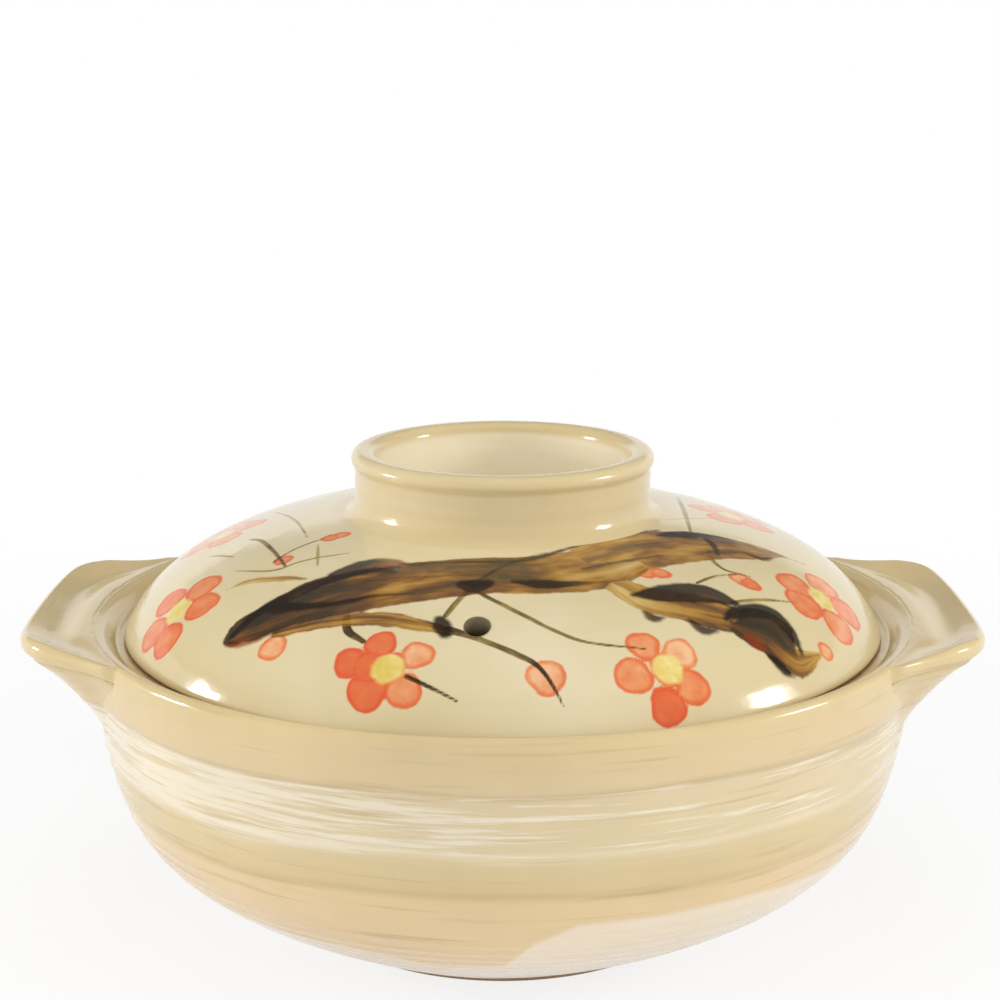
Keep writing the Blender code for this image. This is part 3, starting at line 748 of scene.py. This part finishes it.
def paint_lid(lid):
    """Lay the painting's layers on the lid as attributes, which the glaze's nodes colour."""
    count = len(lid.data.vertices)
    places = np.zeros(count * 3, np.float32)
    lid.data.vertices.foreach_get("co", places)
    places = places.reshape(-1, 3)
    reach = np.zeros(count, np.float32)
    lid.data.attributes["reach"].data.foreach_get("value", reach)
    radius = np.maximum(np.hypot(places[:, 0], places[:, 1]), 1e-6)
    plan = places[:, :2].astype(float) * (reach / radius * 1000)[:, None]
    for layer, strokes in (("branch", BRANCH), ("ink", INK)) + tuple(zip(TWIG_LAYERS, TWIGS)):
        paint = brush(plan, strokes)
        place = lid.data.attributes.new(layer, "FLOAT_VECTOR", "POINT")
        place.data.foreach_set("vector", paint[:, :3].ravel())
        tone = lid.data.attributes.new(layer + "_tone", "FLOAT", "POINT")
        tone.data.foreach_set("value", paint[:, 3])
    washes = lid.data.attributes.new("petals", "FLOAT_VECTOR", "POINT")
    washes.data.foreach_set("vector", petals(plan, BLOSSOMS).ravel())
    hearts = [np.hypot(*(plan - middle).T) for middle, petal_list in BLOSSOMS if len(petal_list) > 2]
    heart = lid.data.attributes.new("heart", "FLOAT", "POINT")
    heart.data.foreach_set("value", np.min(hearts, axis=0))


def colour(code):
    """An sRGB hex colour as linear RGBA."""
    shares = [int(code[i:i + 2], 16) / 255 for i in (1, 3, 5)]
    return (*[s / 12.92 if s <= 0.04045 else ((s + 0.055) / 1.055) ** 2.4 for s in shares], 1)


def material(name):
    """A new material and its tree, with the shader of a clear stoneware glaze on its output."""
    made = bpy.data.materials.new(name)
    made.use_nodes = True
    made.node_tree.nodes.clear()
    shader = add(made.node_tree, "ShaderNodeBsdfPrincipled", {"IOR": GLAZE_IOR, "Metallic": 0.0})
    add(made.node_tree, "ShaderNodeOutputMaterial", {"Surface": shader})
    return made, made.node_tree, shader


GLAZE_IOR = 1.52                      # a clear feldspar glaze, close to window glass
GLAZE_ROUGHNESS = 0.13                # fired gloss, a little soft as on everyday stoneware
CLAY_ROUGHNESS = 0.82                 # bare fired clay
BARE_CLAY = ((0.3, "#A9875C"), (0.55, "#C9A97C"), (0.75, "#D8BE96"))
# Painted shade: the steam hole's bare clay is coloured darker, as it looks in the hole's half-light
HOLE_CLAY_IN_SHADE = "#6E6248"                 # clay in the half-light of the steam hole


def hues(stops):
    """Colour ramp stops from places and sRGB hex colours."""
    return tuple((at, colour(code)) for at, code in stops)


def finish_glaze(tree, shader, hue, height, place):
    """Join a glaze's colour and relief to its shader, and leave the bare clay where it belongs.

    To the eye the glaze is a smooth gloss with a faint ripple 5 mm across and hazier patches
    22 mm across. The bare clay is matte and gritty, and its edge strays over 6 mm. Its grit is
    drawn 0.7 mm across, about twice its real size, so that it shows.
    """
    grain = add(tree, "ShaderNodeTexNoise", {"Vector": place, "Scale": 1400.0, "Detail": 2.0})
    edge = add(tree, "ShaderNodeTexNoise", {"Vector": place, "Scale": 160.0, "Detail": 1.0})
    bare = add(tree, "ShaderNodeAttribute", attribute_name="bare").outputs["Fac"]
    ragged = add(tree, "ShaderNodeMath", {0: edge, 1: 0.5, 2: bare}, operation="MULTIPLY_ADD")
    unglazed = add(tree, "ShaderNodeMapRange", {0: ragged, 1: 0.70, 2: 0.78})
    bored = add(tree, "ShaderNodeAttribute", attribute_name="bored").outputs["Fac"]
    pierced = add(tree, "ShaderNodeMath", {0: bored, 1: 8.0}, operation="POWER")
    clay = add(tree, "ShaderNodeMath", {0: unglazed, 1: pierced}, operation="MAXIMUM")
    clay_hue = add(tree, "ShaderNodeValToRGB", {0: grain}, stops=hues(BARE_CLAY))
    mixed = add(tree, "ShaderNodeMix", {0: clay, 6: hue, 7: clay_hue}, data_type="RGBA").outputs[2]
    # painted shade: the steam hole's wall takes the darker clay colour
    shaded = add(tree, "ShaderNodeMix", {0: pierced, 6: mixed, 7: colour(HOLE_CLAY_IN_SHADE)}, data_type="RGBA")
    tree.links.new(shaded.outputs[2], shader.inputs["Base Color"])
    haze = add(tree, "ShaderNodeTexNoise", {"Vector": place, "Scale": 45.0, "Detail": 3.0})
    gloss = add(tree, "ShaderNodeMapRange",
                {0: haze, 1: 0.3, 2: 0.7, 3: GLAZE_ROUGHNESS - 0.03, 4: GLAZE_ROUGHNESS + 0.05})
    rough = add(tree, "ShaderNodeMix", {0: clay, 2: gloss, 3: CLAY_ROUGHNESS}, data_type="FLOAT")
    tree.links.new(rough.outputs[0], shader.inputs["Roughness"])
    peel = add(tree, "ShaderNodeTexNoise", {"Vector": place, "Scale": 210.0, "Detail": 1.5})
    relief = add(tree, "ShaderNodeMath", {0: height, 1: peel}, operation="ADD")
    tooth = add(tree, "ShaderNodeMath", {0: grain, 1: clay}, operation="MULTIPLY")
    surface = add(tree, "ShaderNodeMath", {0: tooth, 1: 2.5, 2: relief}, operation="MULTIPLY_ADD")
    bump = add(tree, "ShaderNodeBump", {"Strength": 1.0, "Distance": 0.00006, "Height": surface})
    tree.links.new(bump.outputs[0], shader.inputs["Normal"])


# Clay and slip of the bowl as they show through its clear glaze: height in mm, colour
BOWL_BANDS = ((20, "#E2C69A"), (50, "#E0C698"), (52.5, "#CFB686"), (54.5, "#D6C090"), (63, "#D8C496"),
              (65.5, "#E3D2AE"), (67, "#DBC9A0"), (82, "#DBC7A0"), (83.5, "#C9B387"), (85, "#D8C197"),
              (97, "#D8C292"))
BRUSH_STREAKS = (26.0, 26.0, 620.0)   # brushed slip: streaks 38 mm long and 1.6 mm high
SMUDGE_STREAKS = (17.0, 17.0, 480.0)  # clay that shows through: 59 mm long and 2.1 mm high
SLIP_STARTS = (0.061, 0.067)          # heights over which the brushed slip sets in
SLIP_ENDS = (0.0845, 0.082)           # and thins out below the rim band
LOADED_SIDE = (-0.90, -0.43, 0.0)     # the brush was fullest at the left front
BRUSHED_SLIP = "#E9DDC4"
SMUDGED_CLAY = "#AE9264"
POURED_GLAZE = "#EBDDC8"
BOWL_INSIDE = "#E4D5B0"
# Upper edge of the glaze poured round the foot: degrees from the front towards +X, height in mm
POUR_EDGE = ((-180, 26), (-90, 27), (-40, 29), (-24, 28), (-9, 22), (0, 25), (4, 36), (10, 43),
             (36, 44), (51, 41), (90, 33), (180, 26))


def bowl_glaze(name):
    """Buff stoneware, thrown, with white slip brushed on while it turned, under a clear glaze.

    To the eye: warm beige bands of clay in a soft gloss, thin level streaks of white slip in
    the middle of the wall, and a second, milky glaze that was poured round the foot and ends in
    a soft, uneven line. The bands sway by 3 mm and the glaze is cloudy over 45 mm.
    """
    made, tree, shader = material(name)
    place = add(tree, "ShaderNodeTexCoord").outputs["Object"]
    spot = add(tree, "ShaderNodeSeparateXYZ", {0: place}).outputs
    front = add(tree, "ShaderNodeMath", {0: spot["Y"], 1: -1.0}, operation="MULTIPLY")
    angle = add(tree, "ShaderNodeMath", {0: spot["X"], 1: front}, operation="ARCTAN2")
    turn = add(tree, "ShaderNodeMath", {0: angle, 1: 1 / math.tau, 2: 0.5}, operation="MULTIPLY_ADD")
    sway = add(tree, "ShaderNodeTexNoise", {"Vector": place, "Scale": 16.0, "Detail": 1.0})
    swayed = add(tree, "ShaderNodeMath", {0: sway, 1: 0.006, 2: spot["Z"]}, operation="MULTIPLY_ADD")
    level = add(tree, "ShaderNodeMath", {0: swayed, 1: 0.003}, operation="SUBTRACT")
    share = add(tree, "ShaderNodeMath", {0: level, 1: 10.0}, operation="MULTIPLY")
    bands = add(tree, "ShaderNodeValToRGB", {0: share},
                stops=hues((mm / 100, code) for mm, code in BOWL_BANDS))

    level_grain = add(tree, "ShaderNodeMapping", {"Vector": place, "Scale": BRUSH_STREAKS},
                      vector_type="POINT")
    streaks = add(tree, "ShaderNodeTexNoise",
                  {"Vector": level_grain, "Scale": 1.0, "Detail": 3.0, "Roughness": 0.6})
    above = add(tree, "ShaderNodeMapRange", {0: level, 1: SLIP_STARTS[0], 2: SLIP_STARTS[1]},
                interpolation_type="SMOOTHSTEP")
    under = add(tree, "ShaderNodeMapRange", {0: level, 1: SLIP_ENDS[0], 2: SLIP_ENDS[1]},
                interpolation_type="SMOOTHSTEP")
    zone = add(tree, "ShaderNodeMath", {0: above, 1: under}, operation="MULTIPLY")
    sideways = add(tree, "ShaderNodeVectorMath", {0: place, 1: LOADED_SIDE}, operation="DOT_PRODUCT")
    loaded = add(tree, "ShaderNodeMapRange",
                 {0: sideways.outputs["Value"], 1: 0.03, 2: 0.115, 3: 0.0, 4: 0.17})
    laid = add(tree, "ShaderNodeMath", {0: streaks, 1: loaded}, operation="ADD")
    cover = add(tree, "ShaderNodeMapRange", {0: laid, 1: 0.55, 2: 0.66})
    slip = add(tree, "ShaderNodeMath", {0: cover, 1: zone}, operation="MULTIPLY")
    slipped = add(tree, "ShaderNodeMix", {0: slip, 6: bands, 7: colour(BRUSHED_SLIP)}, data_type="RGBA")

    smudge_grain = add(tree, "ShaderNodeMapping", {"Vector": place, "Scale": SMUDGE_STREAKS},
                       vector_type="POINT")
    smudges = add(tree, "ShaderNodeTexNoise", {"Vector": smudge_grain, "Scale": 1.0, "Detail": 2.0})
    smudge = add(tree, "ShaderNodeMapRange", {0: smudges, 1: 0.60, 2: 0.74, 3: 0.0, 4: 0.42})
    smudged = add(tree, "ShaderNodeMix",
                  {0: smudge, 6: slipped.outputs[2], 7: colour(SMUDGED_CLAY)}, data_type="RGBA")

    pour = add(tree, "ShaderNodeValToRGB", {0: turn}, stops=tuple(
        (0.5 + degrees / 360, (mm / 100, mm / 100, mm / 100, 1)) for degrees, mm in POUR_EDGE))
    pour_height = add(tree, "ShaderNodeMath", {0: pour, 1: 0.1}, operation="MULTIPLY")
    depth = add(tree, "ShaderNodeMath", {0: pour_height, 1: level}, operation="SUBTRACT")
    poured = add(tree, "ShaderNodeMapRange", {0: depth, 1: -0.0012, 2: 0.0014, 3: 0.0, 4: 0.85},
                 interpolation_type="SMOOTHSTEP")
    footed = add(tree, "ShaderNodeMix",
                 {0: poured, 6: smudged.outputs[2], 7: colour(POURED_GLAZE)}, data_type="RGBA")

    inner = add(tree, "ShaderNodeAttribute", attribute_name="inner").outputs["Fac"]
    whole = add(tree, "ShaderNodeMix",
                {0: inner, 6: footed.outputs[2], 7: colour(BOWL_INSIDE)}, data_type="RGBA")
    clouds = add(tree, "ShaderNodeTexNoise",
                 {"Vector": place, "Scale": 22.0, "Detail": 4.0, "Roughness": 0.55})
    cloud = add(tree, "ShaderNodeMapRange", {0: clouds, 1: 0.3, 2: 0.7, 3: 0.95, 4: 1.04})
    shaded = add(tree, "ShaderNodeVectorMath", {0: whole.outputs[2], "Scale": cloud}, operation="SCALE")
    body = add(tree, "ShaderNodeMath", {0: slip, 1: poured}, operation="ADD")
    combed = add(tree, "ShaderNodeMath", {0: body, 1: 1.2, 2: streaks}, operation="MULTIPLY_ADD")
    finish_glaze(tree, shader, shaded, combed, place)
    return made


LID_SLIP = ((0.35, "#D5C497"), (0.5, "#DACAA1"), (0.65, "#E0D2AE"))
# The knob's cream is a darker copy of the lid's: partly painted shade on the knob, partly glaze pooled
# round it
KNOB_SLIP_WITH_SHADE = ((0.35, "#D0BC8C"), (0.5, "#D6C294"), (0.65, "#DCCAA2"))
# Painted light: a paler cream on the inner side, so that the knob's recess looks lit; it is laid inside the
# lid as well
INSIDE_PAINTED_LIGHT = "#EFE3C8"              # inside the lid and on the floor of the ring
COMBED_RINGS = (20.0, 20.0, 500.0)    # traces of the wet sponge: 50 mm long and 2 mm high


def lid_glaze(name, slip, painted):
    """Buff stoneware, thrown, dipped in white slip and fired under a clear glaze.

    To the eye: an even warm cream in a soft gloss, cloudy over 77 mm, paler on the inner side
    as painted light that makes the knob's recess look lit, and on the lid a branch painted in
    oxide colours under the glaze.
    """
    made, tree, shader = material(name)
    place = add(tree, "ShaderNodeTexCoord").outputs["Object"]
    clouds = add(tree, "ShaderNodeTexNoise",
                 {"Vector": place, "Scale": 13.0, "Detail": 4.0, "Roughness": 0.5})
    ground = add(tree, "ShaderNodeValToRGB", {0: clouds}, stops=hues(slip))
    inner = add(tree, "ShaderNodeAttribute", attribute_name="inner").outputs["Fac"]
    # painted light: the inner side takes the paler cream
    pooled_and_lit = add(tree, "ShaderNodeMix", {0: inner, 6: ground, 7: colour(INSIDE_PAINTED_LIGHT)}, data_type="RGBA")
    hue = pooled_and_lit.outputs[2]
    if painted:
        hue = painting(tree, hue, place)
    rings = add(tree, "ShaderNodeMapping", {"Vector": place, "Scale": COMBED_RINGS}, vector_type="POINT")
    combed = add(tree, "ShaderNodeTexNoise", {"Vector": rings, "Scale": 1.0, "Detail": 2.0})
    finish_glaze(tree, shader, hue, combed, place)
    return made


# Oxide colours of the painting, from a full brush to a dry one
TWIG_INK = ((0.25, "#241600"), (0.42, "#4E3800"), (0.56, "#765C0C"), (0.75, "#9A8440"))
BARK = ((0.22, "#1C1000"), (0.34, "#331D04"), (0.44, "#5C3508"), (0.53, "#86560E"), (0.62, "#A87A24"),
        (0.72, "#BA9448"), (0.84, "#D0B470"))
ACCENT_INK = ((0.28, "#1A0E00"), (0.46, "#301C04"), (0.60, "#5A3208"), (0.74, "#8A3A08"),
              (0.90, "#8E2008"))
# Coral of the petals, from a thin wash to a full one, and the yellow of their hearts
PETAL_CORAL = ((0.45, "#EDB98C"), (0.70, "#E69460"), (1.0, "#E06C34"))
DEEPEST_CORAL = "#DA4410"
HEART_YELLOW = ((0.35, "#D9C25E"), (0.65, "#EAD98C"))


def painting(tree, ground, place):
    """The plum branch over the slip: washes of petals, then twigs, bark and ink accents."""
    hue = petal_washes(tree, ground, place)
    for layer in TWIG_LAYERS:
        hue = strokes(tree, hue, place, layer, TWIG_INK, opacity=(0.97, 0.84), streak_length=7.0,
                      streaks_across=0.5, ragged_edge=0.3, wet_edge=0.5)
    hue = strokes(tree, hue, place, "branch", BARK, opacity=(0.97, 0.90), streak_length=34.0,
                  streaks_across=1.25, ragged_edge=1.8, wet_edge=1.1)
    return strokes(tree, hue, place, "ink", ACCENT_INK, opacity=(0.95, 0.82), streak_length=16.0,
                   streaks_across=1.0, ragged_edge=1.4, wet_edge=1.7)


def strokes(tree, ground, place, layer, paint, opacity, streak_length, streaks_across, ragged_edge,
            wet_edge):
    """One layer of brush strokes, streaked along each stroke, over a ground colour.

    opacity is for dark tones and for light ones. In mm: a streak is streak_length long, a
    stroke's edge strays by about ragged_edge and thins out over wet_edge. The edge strays every
    4 mm and the paint pools in patches 11 mm across.
    """
    data = add(tree, "ShaderNodeAttribute", attribute_name=layer)
    parts = add(tree, "ShaderNodeSeparateXYZ", {0: data.outputs["Vector"]}).outputs
    tone = add(tree, "ShaderNodeAttribute", attribute_name=layer + "_tone").outputs["Fac"]
    along = add(tree, "ShaderNodeMath", {0: parts["Z"], 1: 1 / streak_length}, operation="MULTIPLY")
    across = add(tree, "ShaderNodeMath", {0: parts["X"], 1: streaks_across}, operation="MULTIPLY")
    brush_place = add(tree, "ShaderNodeCombineXYZ", {0: along, 1: across})
    hairs = add(tree, "ShaderNodeTexNoise",
                {"Vector": brush_place, "Scale": 1.0, "Detail": 3.0, "Roughness": 0.6})
    wet = add(tree, "ShaderNodeTexNoise", {"Vector": place, "Scale": 260.0, "Detail": 3.0})
    pools = add(tree, "ShaderNodeTexNoise", {"Vector": place, "Scale": 95.0, "Detail": 2.0})
    stray = add(tree, "ShaderNodeMath", {0: wet, 1: 0.5}, operation="SUBTRACT")
    ragged = add(tree, "ShaderNodeMath", {0: stray, 1: ragged_edge, 2: parts["Y"]},
                 operation="MULTIPLY_ADD")
    mask = add(tree, "ShaderNodeMapRange", {0: ragged, 1: 0.15, 2: 0.15 - wet_edge},
               interpolation_type="SMOOTHSTEP")
    deep = add(tree, "ShaderNodeMapRange", {0: tone, 1: 0.0, 2: 1.0, 3: opacity[0], 4: opacity[1]})
    cover = add(tree, "ShaderNodeMath", {0: mask, 1: deep}, operation="MULTIPLY")
    lean = add(tree, "ShaderNodeMath", {0: tone, 1: 0.5, 2: -0.37}, operation="MULTIPLY_ADD")
    pooled_and_lit = add(tree, "ShaderNodeMath", {0: pools, 1: 0.28, 2: lean}, operation="MULTIPLY_ADD")
    mix = add(tree, "ShaderNodeMath", {0: hairs, 1: pooled_and_lit}, operation="ADD")
    hue = add(tree, "ShaderNodeValToRGB", {0: mix}, stops=hues(paint))
    return add(tree, "ShaderNodeMix", {0: cover, 6: ground, 7: hue}, data_type="RGBA").outputs[2]


def petal_washes(tree, ground, place):
    """Petals and buds as coral washes, deeper where the colour pooled at their outlines.

    The yellow hearts are dabbed on them. The washes are blotchy every 4 mm.
    """
    data = add(tree, "ShaderNodeAttribute", attribute_name="petals")
    parts = add(tree, "ShaderNodeSeparateXYZ", {0: data.outputs["Vector"]}).outputs
    wet = add(tree, "ShaderNodeTexNoise", {"Vector": place, "Scale": 260.0, "Detail": 3.0})
    blot = add(tree, "ShaderNodeTexNoise", {"Vector": place, "Scale": 230.0, "Detail": 3.0})
    ragged = add(tree, "ShaderNodeMath", {0: wet, 1: 1.6, 2: parts["X"]}, operation="MULTIPLY_ADD")
    inside = add(tree, "ShaderNodeMapRange", {0: ragged, 1: 0.55, 2: 1.10})
    outline = add(tree, "ShaderNodeMapRange", {0: ragged, 1: 2.5, 2: 1.3, 3: 0.0, 4: 0.40})
    wash = add(tree, "ShaderNodeMath", {0: blot, 1: 0.75, 2: parts["Y"]}, operation="MULTIPLY_ADD")
    deep = add(tree, "ShaderNodeMath", {0: wash, 1: outline}, operation="ADD")
    hue = add(tree, "ShaderNodeValToRGB", {0: deep}, stops=hues(PETAL_CORAL))
    fired = add(tree, "ShaderNodeMapRange", {0: deep, 1: 1.0, 2: 1.5})
    full = add(tree, "ShaderNodeMix", {0: fired, 6: hue, 7: colour(DEEPEST_CORAL)}, data_type="RGBA")
    cover = add(tree, "ShaderNodeMath", {0: inside, 1: 0.90}, operation="MULTIPLY")
    washed = add(tree, "ShaderNodeMix", {0: cover, 6: ground, 7: full.outputs[2]}, data_type="RGBA")
    heart = add(tree, "ShaderNodeAttribute", attribute_name="heart").outputs["Fac"]
    heart_edge = add(tree, "ShaderNodeMath", {0: wet, 1: 2.6, 2: heart}, operation="MULTIPLY_ADD")
    dab = add(tree, "ShaderNodeMapRange", {0: heart_edge, 1: 6.6, 2: 5.4, 3: 0.0, 4: 0.93})
    yellow = add(tree, "ShaderNodeValToRGB", {0: blot}, stops=hues(HEART_YELLOW))
    dabbed = add(tree, "ShaderNodeMix", {0: dab, 6: washed.outputs[2], 7: yellow}, data_type="RGBA")
    return dabbed.outputs[2]


FLOOR_SIZE = 6.0
SWEEP_HEIGHT = 1.0                    # wall that closes the view behind the pot
SHADOW_REACH = (0.55, 0.22)           # the pot's shadow shows within this distance of its middle
SHADOW_SHARE = 0.17
CAMERA_PLACE = (-0.0008, -0.6742, 0.2862)
CAMERA_TILT = 77.244
CAMERA_LENS = 80.14                   # mm on a 36 mm wide sensor


def white_sweep():
    """Floor and low wall of a white paper sweep."""
    bm = bmesh.new()
    bmesh.ops.create_circle(bm, cap_ends=True, radius=FLOOR_SIZE / 2, segments=96)
    rim = [edge for edge in bm.edges if edge.is_boundary]
    wall = bmesh.ops.extrude_edge_only(bm, edges=rim)["geom"]
    top = [vert for vert in wall if isinstance(vert, bmesh.types.BMVert)]
    bmesh.ops.translate(bm, verts=top, vec=(0, 0, SWEEP_HEIGHT))
    mesh = bpy.data.meshes.new("floor")
    bm.to_mesh(mesh)
    bm.free()
    floor = place_in_scene("floor", mesh)
    floor.data.materials.append(sweep_paper())


def sweep_paper():
    """White paper, matte: to the eye pure white, but for the soft shadow close to the pot."""
    made = bpy.data.materials.new("white paper, matte")
    made.use_nodes = True
    tree = made.node_tree
    tree.nodes.clear()
    place = add(tree, "ShaderNodeTexCoord").outputs["Object"]
    away = add(tree, "ShaderNodeVectorMath", {0: place}, operation="LENGTH").outputs["Value"]
    near = add(tree, "ShaderNodeMapRange",
               {0: away, 1: SHADOW_REACH[0], 2: SHADOW_REACH[1], 3: 0.0, 4: SHADOW_SHARE},
               interpolation_type="SMOOTHSTEP")
    paper = add(tree, "ShaderNodeBsdfDiffuse", {"Color": (0.9, 0.9, 0.9, 1)})
    glow = add(tree, "ShaderNodeEmission", {"Color": (1, 1, 1, 1), "Strength": 1.0})
    shown = add(tree, "ShaderNodeMixShader", {0: near, 1: glow, 2: paper})
    rays = add(tree, "ShaderNodeLightPath").outputs
    seen = rays["Is Camera Ray"]
    for ray in ("Is Glossy Ray", "Is Transmission Ray"):
        seen = add(tree, "ShaderNodeMath", {0: seen, 1: rays[ray]}, operation="MAXIMUM")
    surface = add(tree, "ShaderNodeMixShader", {0: seen, 1: paper, 2: shown})
    add(tree, "ShaderNodeOutputMaterial", {"Surface": surface})
    return made


ROOM_LIGHT = 0.22
# Name, place, edge in metres, power in watts, mirrored in the glaze or not
SOFTBOXES = (("softbox_left", (-0.80, 0.02, 0.27), 0.15, 2.0, True),
             ("softbox_right", (0.79, -0.12, 0.38), 0.17, 1.8, True),
             ("fill_front", (0.0, -1.10, 0.55), 0.90, 5.2, False),
             ("fill_left", (-1.10, -0.20, 0.45), 0.90, 2.8, False),
             ("fill_right", (1.10, -0.20, 0.45), 0.90, 3.0, False),
             ("fill_top", (0.0, -0.15, 1.20), 0.90, 5.5, False))


def room_light():
    """Even white light from all round, the same for every ray."""
    world = bpy.data.worlds.new("room light")
    bpy.context.scene.world = world
    world.use_nodes = True
    tree = world.node_tree
    tree.nodes.clear()
    light = add(tree, "ShaderNodeBackground", {"Color": (1, 1, 1, 1), "Strength": ROOM_LIGHT})
    add(tree, "ShaderNodeOutputWorld", {"Surface": light})


def softbox(name, place, size, power, mirrored):
    """A square softbox that faces the middle of the pot."""
    lamp = bpy.data.lights.new(name, "AREA")
    lamp.size = size
    lamp.energy = power
    obj = place_in_scene(name, lamp)
    obj.location = place
    towards = Vector(place) - Vector((0, 0, RIM_HEIGHT))
    obj.rotation_euler = towards.to_track_quat("Z", "Y").to_euler()
    obj.visible_glossy = mirrored


def main():
    camera = bpy.data.cameras.new("camera")
    camera.sensor_width = 36.0
    camera.lens = CAMERA_LENS
    viewer = place_in_scene("camera", camera)
    viewer.location = CAMERA_PLACE
    viewer.rotation_euler = (math.radians(CAMERA_TILT), 0, 0)
    bpy.context.scene.camera = viewer
    bpy.context.scene.view_settings.view_transform = "Standard"
    white_sweep()
    room_light()
    for settings in SOFTBOXES:
        softbox(*settings)

    wheel = potters_wheel()
    outline = bowl_outline()
    bowl = throw(wheel, "bowl_shell", outline, {
        "Steps": 240, "Seed": 3, "Front Detail": 0.0, "Wobble": 0.0009,
        "Ridge Depth": 0.00028, "Ridge Spacing": 0.0052,
        "Glaze": bowl_glaze("bowl, glazed stoneware with brushed slip")})
    grid = lug_grid(outline[np.argmax(outline[:, 1]):, :2])
    lugs = [make_lug(name, grid, side, bowl_glaze(name + ", glazed stoneware with brushed slip"))
            for name, side in (("lug_skin_right", 1), ("lug_skin_left", -1))]
    lid = throw(wheel, "lid_shell", lid_outline(), {
        "Steps": 560, "Seed": 8, "Front Detail": 0.45, "Wobble": 0.0005,
        "Ridge Depth": 0.00012, "Ridge Spacing": 0.0065,
        "Glaze": lid_glaze("lid, glazed stoneware with painted slip", LID_SLIP, True)})
    paint_lid(lid)
    bore_steam_hole(lid)
    knob = throw(wheel, "knob_ring", knob_outline(), {
        "Steps": 200, "Seed": 5, "Front Detail": 0.0, "Wobble": 0.0004,
        "Ridge Depth": 0.0001, "Ridge Spacing": 0.0045,
        "Glaze": lid_glaze("knob, glazed stoneware with plain slip", KNOB_SLIP_WITH_SHADE, False)})

    pieces = ((bowl, "pot", "pot_bowl", "bowl_glaze"),
              (lugs[0], "pot", "lug_right", "lug_glaze"),
              (lugs[1], "pot", "lug_left", "lug_glaze"),
              (lid, "lid", "lid_dome", "lid_glaze"),
              (knob, "lid", "lid_knob_ring", "knob_glaze"))
    for piece, body, node, slot in pieces:
        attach(piece, body)
        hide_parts(node)


main()
